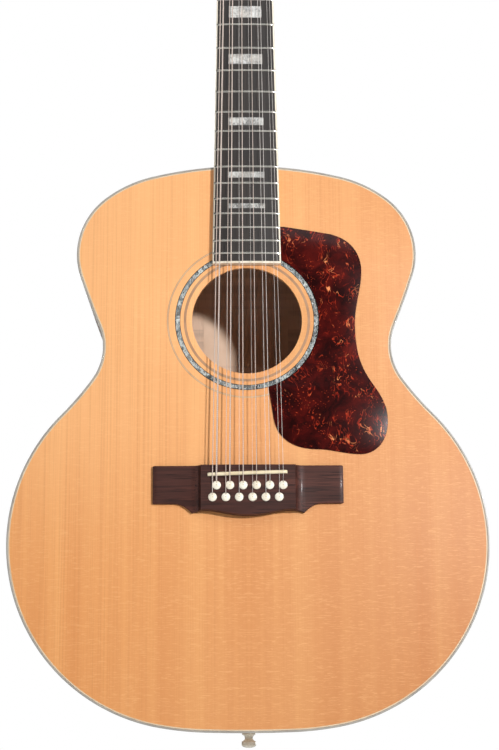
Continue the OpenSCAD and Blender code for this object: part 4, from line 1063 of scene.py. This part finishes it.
# ---- end pin ----
END_PIN_Z = -(TAIL_DEPTH - 1) / 2
KNOB = [(0.0, -24), (2.8, -24), (4.0, -2), (4.0, 0), (5.9, 0), (6.2, 0.3), (6.2, 1.5), (5.9, 1.8), (4.7, 2.5),
        (3.9, 3.4), (3.6, 4.4), (3.6, 5.4), (4.1, 6.4), (5.2, 7.3), (6.3, 7.8), (6.5, 8.4), (6.5, 10.9),
        (6.2, 11.8), (5.2, 12.6), (2.6, 13.4), (0.0, 13.6)]
to_tail = STAND @ Matrix.Translation((0, 0, END_PIN_Z)) @ rotation(90, "X")
piece("end_pin_knob", lathe(KNOB, 48), to_tail, M_PIN, "bone", ["end_pin"], sharp=50)

# ---- headstock hardware ----
COVER_HALF = [(0, 3), (9, 3), (12, 6), (12.5, 12), (9, 36), (7, 47), (4, 50), (0, 50.6)]
COVER_TOP = VENEER_T + 1.8
cover = mirrored([Vector(p) for p in COVER_HALF])
piece("rod_cover_plate", plate([cover], VENEER_T, COVER_TOP, 0.5, 3, 0.05), LEAN, M_BLACK, "black_plastic",
      ["truss_rod_cover"])


SCREW_TOP, CROSS_HALF, SCREW_STEPS = 0.9, 0.27, 48


def screw_head():
    """Domed head with a cross cut in it: rings of points, sunk where the cross is."""
    dome = ((2.0, 0.0), (2.0, 0.15), (1.85, 0.6), (1.6, 0.86), (1.2, SCREW_TOP), (1.1, SCREW_TOP))
    rings = [level(r, h, SCREW_STEPS) for r, h in dome]
    for r, floor in ((1.05, 0.45), (0.8, 0.42), (0.4, 0.4)):
        rings.append([(x, y, floor if min(abs(x), abs(y)) < CROSS_HALF else SCREW_TOP)
                      for x, y in circle(r, steps=SCREW_STEPS)])
    return loft(rings + [level(0.2, 0.4, SCREW_STEPS)])


HOUSING_SCREW = (-3, -8.6)
EAR_T = 2.2
screws = Lump()
for x, y in ((0, 46), (9.5, 8), (-9.5, 8)):
    screws.add(screw_head(), Matrix.Translation((x, y, COVER_TOP)))
for i in TUNERS:
    screws.add(screw_head(), TO_HEAD @ TUNER_FRAME[i] @ Matrix.Translation((*HOUSING_SCREW, -HEAD_T - EAR_T))
               @ Matrix.Scale(-1, 4, (0, 0, 1)))
piece("screw_heads", screws, LEAN, M_GOLD, "gold_plate", ["small_screws"])


def rounded_box(x, y, r):
    corners = ((x[1] - r, y[1] - r, 0), (x[0] + r, y[1] - r, 90),
               (x[0] + r, y[0] + r, 180), (x[1] - r, y[0] + r, 270))
    return [(cx + r * cos(a), cy + r * sin(a))
            for cx, cy, start in corners for a in (radians(start + 15 * k) for k in range(7))]


WORM_Y, GEAR_Z, HOUSING_H = 7.002, -18.0, 8.4
HOUSING_X, HOUSING_Y, BEARING_X = (-7.4, 10.4), (-11.4, 11.2), 9.4
BEARING = [(2.2, 0), (3.4, 0), (3.4, 3.2), (3.1, 3.9), (2.4, 4.0), (2.2, 4.0), (2.2, 0)]
COLLAR = ((4.4, 0), (5.6, 0), (5.6, 0.7), (5.35, 1.05), (4.8, 1.2), (3.4, 1.2), (3.07, 0.9))
BUSHING = [(3.07, -7.4), (4.4, -7.4), *((r, VENEER_T + h) for r, h in COLLAR), (3.07, -7.4)]
TO_X = rotation(90, "Y")
# a case with a sunk screw, the ear that the screw holds, and the worm's bearing
case = plate([rounded_box(HOUSING_X, HOUSING_Y, 3), circle(2.3, HOUSING_SCREW, 24)],
             -HEAD_T - HOUSING_H, -HEAD_T - 0.02, 0.1, 2, 1.3)
ear = plate([circle(2.4, HOUSING_SCREW, 24)], -HEAD_T - EAR_T, -HEAD_T, 0.05, 1)
housings, bushings = Lump(), Lump()
for i in TUNERS:
    place = TO_HEAD @ TUNER_FRAME[i]
    housings.add(case, place).add(ear, place)
    housings.add(lathe(BEARING, 28), place @ Matrix.Translation((BEARING_X, WORM_Y, GEAR_Z)) @ TO_X)
    bushings.add(lathe(BUSHING, 40), place)
piece("housing_set", housings, LEAN, M_GOLD, "gold_plate", ["tuner_housings"])
piece("bushing_set", bushings, LEAN, M_GOLD, "gold_plate", ["tuner_bushings"])

BUTTON_X, BUTTON_R, BUTTON_HALF, BUTTON_LOBE = 22.5, 4.6, 3.4, 4
BUTTON_STEPS, BUTTON_ROWS = 40, 12
SHAFT = [(0.0, -6.4), (1.35, -6.4), (1.35, 6.6), (1.98, 6.6), (1.98, 13.8), (2.6, 13.8), (2.75, 14.6),
         (2.4, 15.3), (2.9, 16.0), (3.2, 17.2), (3.2, 18.2), (0.0, 19.5)]
WORM_PITCH, WORM_TURNS, WORM_STEPS = 2.2, 3.4, 96
THREAD = [(1.05, -0.52), (2.4, -0.25), (2.52, -0.1), (2.52, 0.1), (2.4, 0.25), (1.05, 0.52)]


def button_head():
    """Button seen from its end: a capsule outline with a fully rounded edge."""
    rings = []
    for lat in spaced(-pi / 2, pi / 2, BUTTON_ROWS):
        grow = cos(lat) ** 0.62 if abs(cos(lat)) > 1e-6 else 0.0
        r = BUTTON_R * (0.2 + 0.8 * grow)
        z = BUTTON_HALF * copysign(abs(sin(lat)) ** 0.9, sin(lat))
        ring = []
        for k, (x, y) in enumerate(circle(r, steps=BUTTON_STEPS)):
            lobe = copysign(BUTTON_LOBE, y) if k % (BUTTON_STEPS // 2) else 0
            ring.append((BUTTON_X + x, lobe + y, z))
        rings.append(ring)
    return loft(rings)


def worm():
    """Thread wound round the shaft, which lies along x."""
    rings = []
    for a in spaced(-pi * WORM_TURNS, pi * WORM_TURNS, WORM_STEPS):
        x = WORM_PITCH * a / (2 * pi)
        rings.append([(x + dx, -r * cos(a), -r * sin(a)) for r, dx in THREAD])
    return loft(rings)


GEAR_TEETH, GEAR_HALF = 14, 1.2


def gear():
    """Gear on the post, turned so that the worm's thread runs between two teeth."""
    r = GEAR_TEETH * WORM_PITCH / (2 * pi)
    loop = []
    for t in range(GEAR_TEETH):
        for share, out in ((-0.3, -0.8), (-0.2, 0.1), (-0.12, 0.66), (-0.06, 0.75),
                           (0.06, 0.75), (0.12, 0.66), (0.2, 0.1), (0.3, -0.8)):
            a = radians(90 + 360 * (t + 0.5 + share * 0.62) / GEAR_TEETH)
            loop.append(((r + out) * cos(a), (r + out) * sin(a)))
    return plate([loop], GEAR_Z - GEAR_HALF, GEAR_Z + GEAR_HALF, 0.06, 1)


POST = [(0.0, GEAR_Z - 2.6), (2.8, GEAR_Z - 2.6), (POST_R, GEAR_Z - 2.4), (POST_R, 5.2), (2.86, 5.9),
        (2.8, 7.2), (2.8, 9.4), (2.9, 10.3), (POST_R, 11.2), (POST_R, 14.0), (2.8, 14.6), (2.3, 14.95),
        (0.0, 15.0)]
WRAP_ROUND, WRAP_TURNS, WRAP_STEPS, WRAP_LIFT = 2.85, 3, 36, 2.3


def string_turns(r):
    """Turns of a string round its post; the middle one meets the string."""
    path = [((WRAP_ROUND + r) * cos(a), (WRAP_ROUND + r) * sin(a),
             WRAP_W + WRAP_LIFT * r * ((a - pi) / (2 * pi) - 1))
            for a in spaced(pi, pi * (1 + 2 * WRAP_TURNS), WRAP_STEPS * WRAP_TURNS)]
    return tube(path, r)


button = Lump().add(lathe(SHAFT, 32), TO_X).add(worm()).add(button_head())
button = Lump().add(button, Matrix.Translation((0, WORM_Y, GEAR_Z)))
post = Lump().add(gear()).add(lathe(POST, 40))
for i in TUNERS:
    for kind, made in (("button", button), ("post", post)):
        node = f"tuner_{kind}_{i}"
        piece(f"{kind}_{i}", made, TUNER_FRAME[i], M_GOLD, "gold_plate", [node], node)
    mat, slot = (M_BRONZE, "string_bronze") if is_wound(i - 1) else (M_STRING, "string_steel")
    wraps = string_turns(STRING_R[i - 1])
    piece(f"string_wraps_{i}", wraps, TUNER_FRAME[i], mat, slot, body=f"tuner_post_{i}", tidy=False)

# ---- CAD pieces that stay as they are, with their woods and metals ----
for node, mat in (("top_lining", M_LINING), ("back_lining", M_LINING), ("head_block", M_BLOCK),
                  ("tail_block", M_BLOCK), ("top_braces", M_BRACE), ("back_braces", M_BRACE),
                  ("bridge_plate", M_MAPLE), ("string_ball_ends", M_BRASS), ("truss_rod", M_STEEL),
                  ("truss_rod_nut", M_ROD)):
    mesh = frame["nodes"][node].data
    mesh.materials.clear()
    mesh.materials.append(mat)

# ---- floor, light and camera ----
FLOOR_Z, FLOOR_HALF = -0.75, 6.0
floor = bpy.data.meshes.new("floor")
corners = ((-1, -1), (1, -1), (1, 1), (-1, 1))
floor.from_pydata([(x * FLOOR_HALF, y * FLOOR_HALF, FLOOR_Z) for x, y in corners], [], [[0, 1, 2, 3]])
floor_paint = smooth("floor_paint", (0.86, 0.86, 0.85, 1), (0.82, 0.82, 0.81, 1), 3, 0.8, 0.0)
# a little light of its own keeps the floor pale where the lamps do not reach
nodes = floor_paint.node_tree.nodes
floor_shader = nodes["Principled BSDF"]
floor_shader.inputs["Emission Color"].default_value = (0.62, 0.62, 0.61, 1)
floor_paint.node_tree.links.new(nodes.new("ShaderNodeLightPath").outputs["Is Camera Ray"],
                                floor_shader.inputs["Emission Strength"])
floor.materials.append(floor_paint)
link("floor", floor)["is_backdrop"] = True

# white background that lights the guitar only faintly
AMBIENT = 0.07
world = bpy.data.worlds.new("studio")
world.use_nodes = True
nodes, links = world.node_tree.nodes, world.node_tree.links
seen, glow = nodes.new("ShaderNodeLightPath"), nodes.new("ShaderNodeMapRange")
glow.inputs["To Min"].default_value, glow.inputs["To Max"].default_value = AMBIENT, 1.0
links.new(seen.outputs["Is Camera Ray"], glow.inputs["Value"])
nodes["Background"].inputs["Color"].default_value = (1, 1, 1, 1)
links.new(glow.outputs["Result"], nodes["Background"].inputs["Strength"])
bpy.context.scene.world = world


def lamp(name, place, target, power, size, size_y=None):
    data = bpy.data.lights.new(name, "AREA")
    data.energy = power
    data.shape, data.size, data.size_y = "RECTANGLE", size, size_y or size
    obj = link(name, data)
    obj.location = place
    obj.rotation_euler = (Vector(target) - Vector(place)).to_track_quat("-Z", "Y").to_euler()


MIDDLE = (0, FACE_Y, 0.38)
lamp("key", (1.12, -1.85, 0.62), MIDDLE, 43, 0.16)
lamp("soft_left", (-1.75, -1.25, 0.7), MIDDLE, 8, 1.3, 1.8)
lamp("soft_right", (1.9, -1.15, 0.5), MIDDLE, 4, 1.2, 1.8)
lamp("overhead", (0, -1.5, 1.75), MIDDLE, 7, 1.6, 0.9)
BACK_MIDDLE = (0, 0, 0.45)
lamp("back_left", (-1.7, 1.9, 1.4), BACK_MIDDLE, 38, 1.4)
lamp("back_right", (1.7, 2.0, 0.5), BACK_MIDDLE, 26, 1.4)

# ---- camera: in front of the tail, looking a little up along the strings
EYE_UP, EYE_OUT, EYE_ACROSS = 10.5, 1148.7, -14.25
EYE_TILT, EYE_YAW, EYE_ROLL = 10.67, -0.765, -0.234
camera = bpy.data.cameras.new("camera")
camera.sensor_width, camera.sensor_fit, camera.lens, camera.shift_y = 36, "AUTO", 62.8, 0.1325
eye = link("camera", camera)
tilt = radians(EYE_TILT)
forward, up = Vector((0, cos(tilt), sin(tilt))), Vector((0, -sin(tilt), cos(tilt)))
turn = Matrix((Vector((1, 0, 0)), up, -forward)).transposed().to_4x4()
eye.matrix_world = (Matrix.Translation(STAND @ Vector((EYE_ACROSS, EYE_UP, EYE_OUT))) @ turn
                    @ rotation(EYE_YAW, "Y")
                    @ rotation(EYE_ROLL, "Z"))
bpy.context.scene.camera = eye
bpy.context.scene.view_settings.view_transform = "Standard"

{"cad": [list(c) for c in CAD_BOX], "visual": [list(c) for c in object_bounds()]}
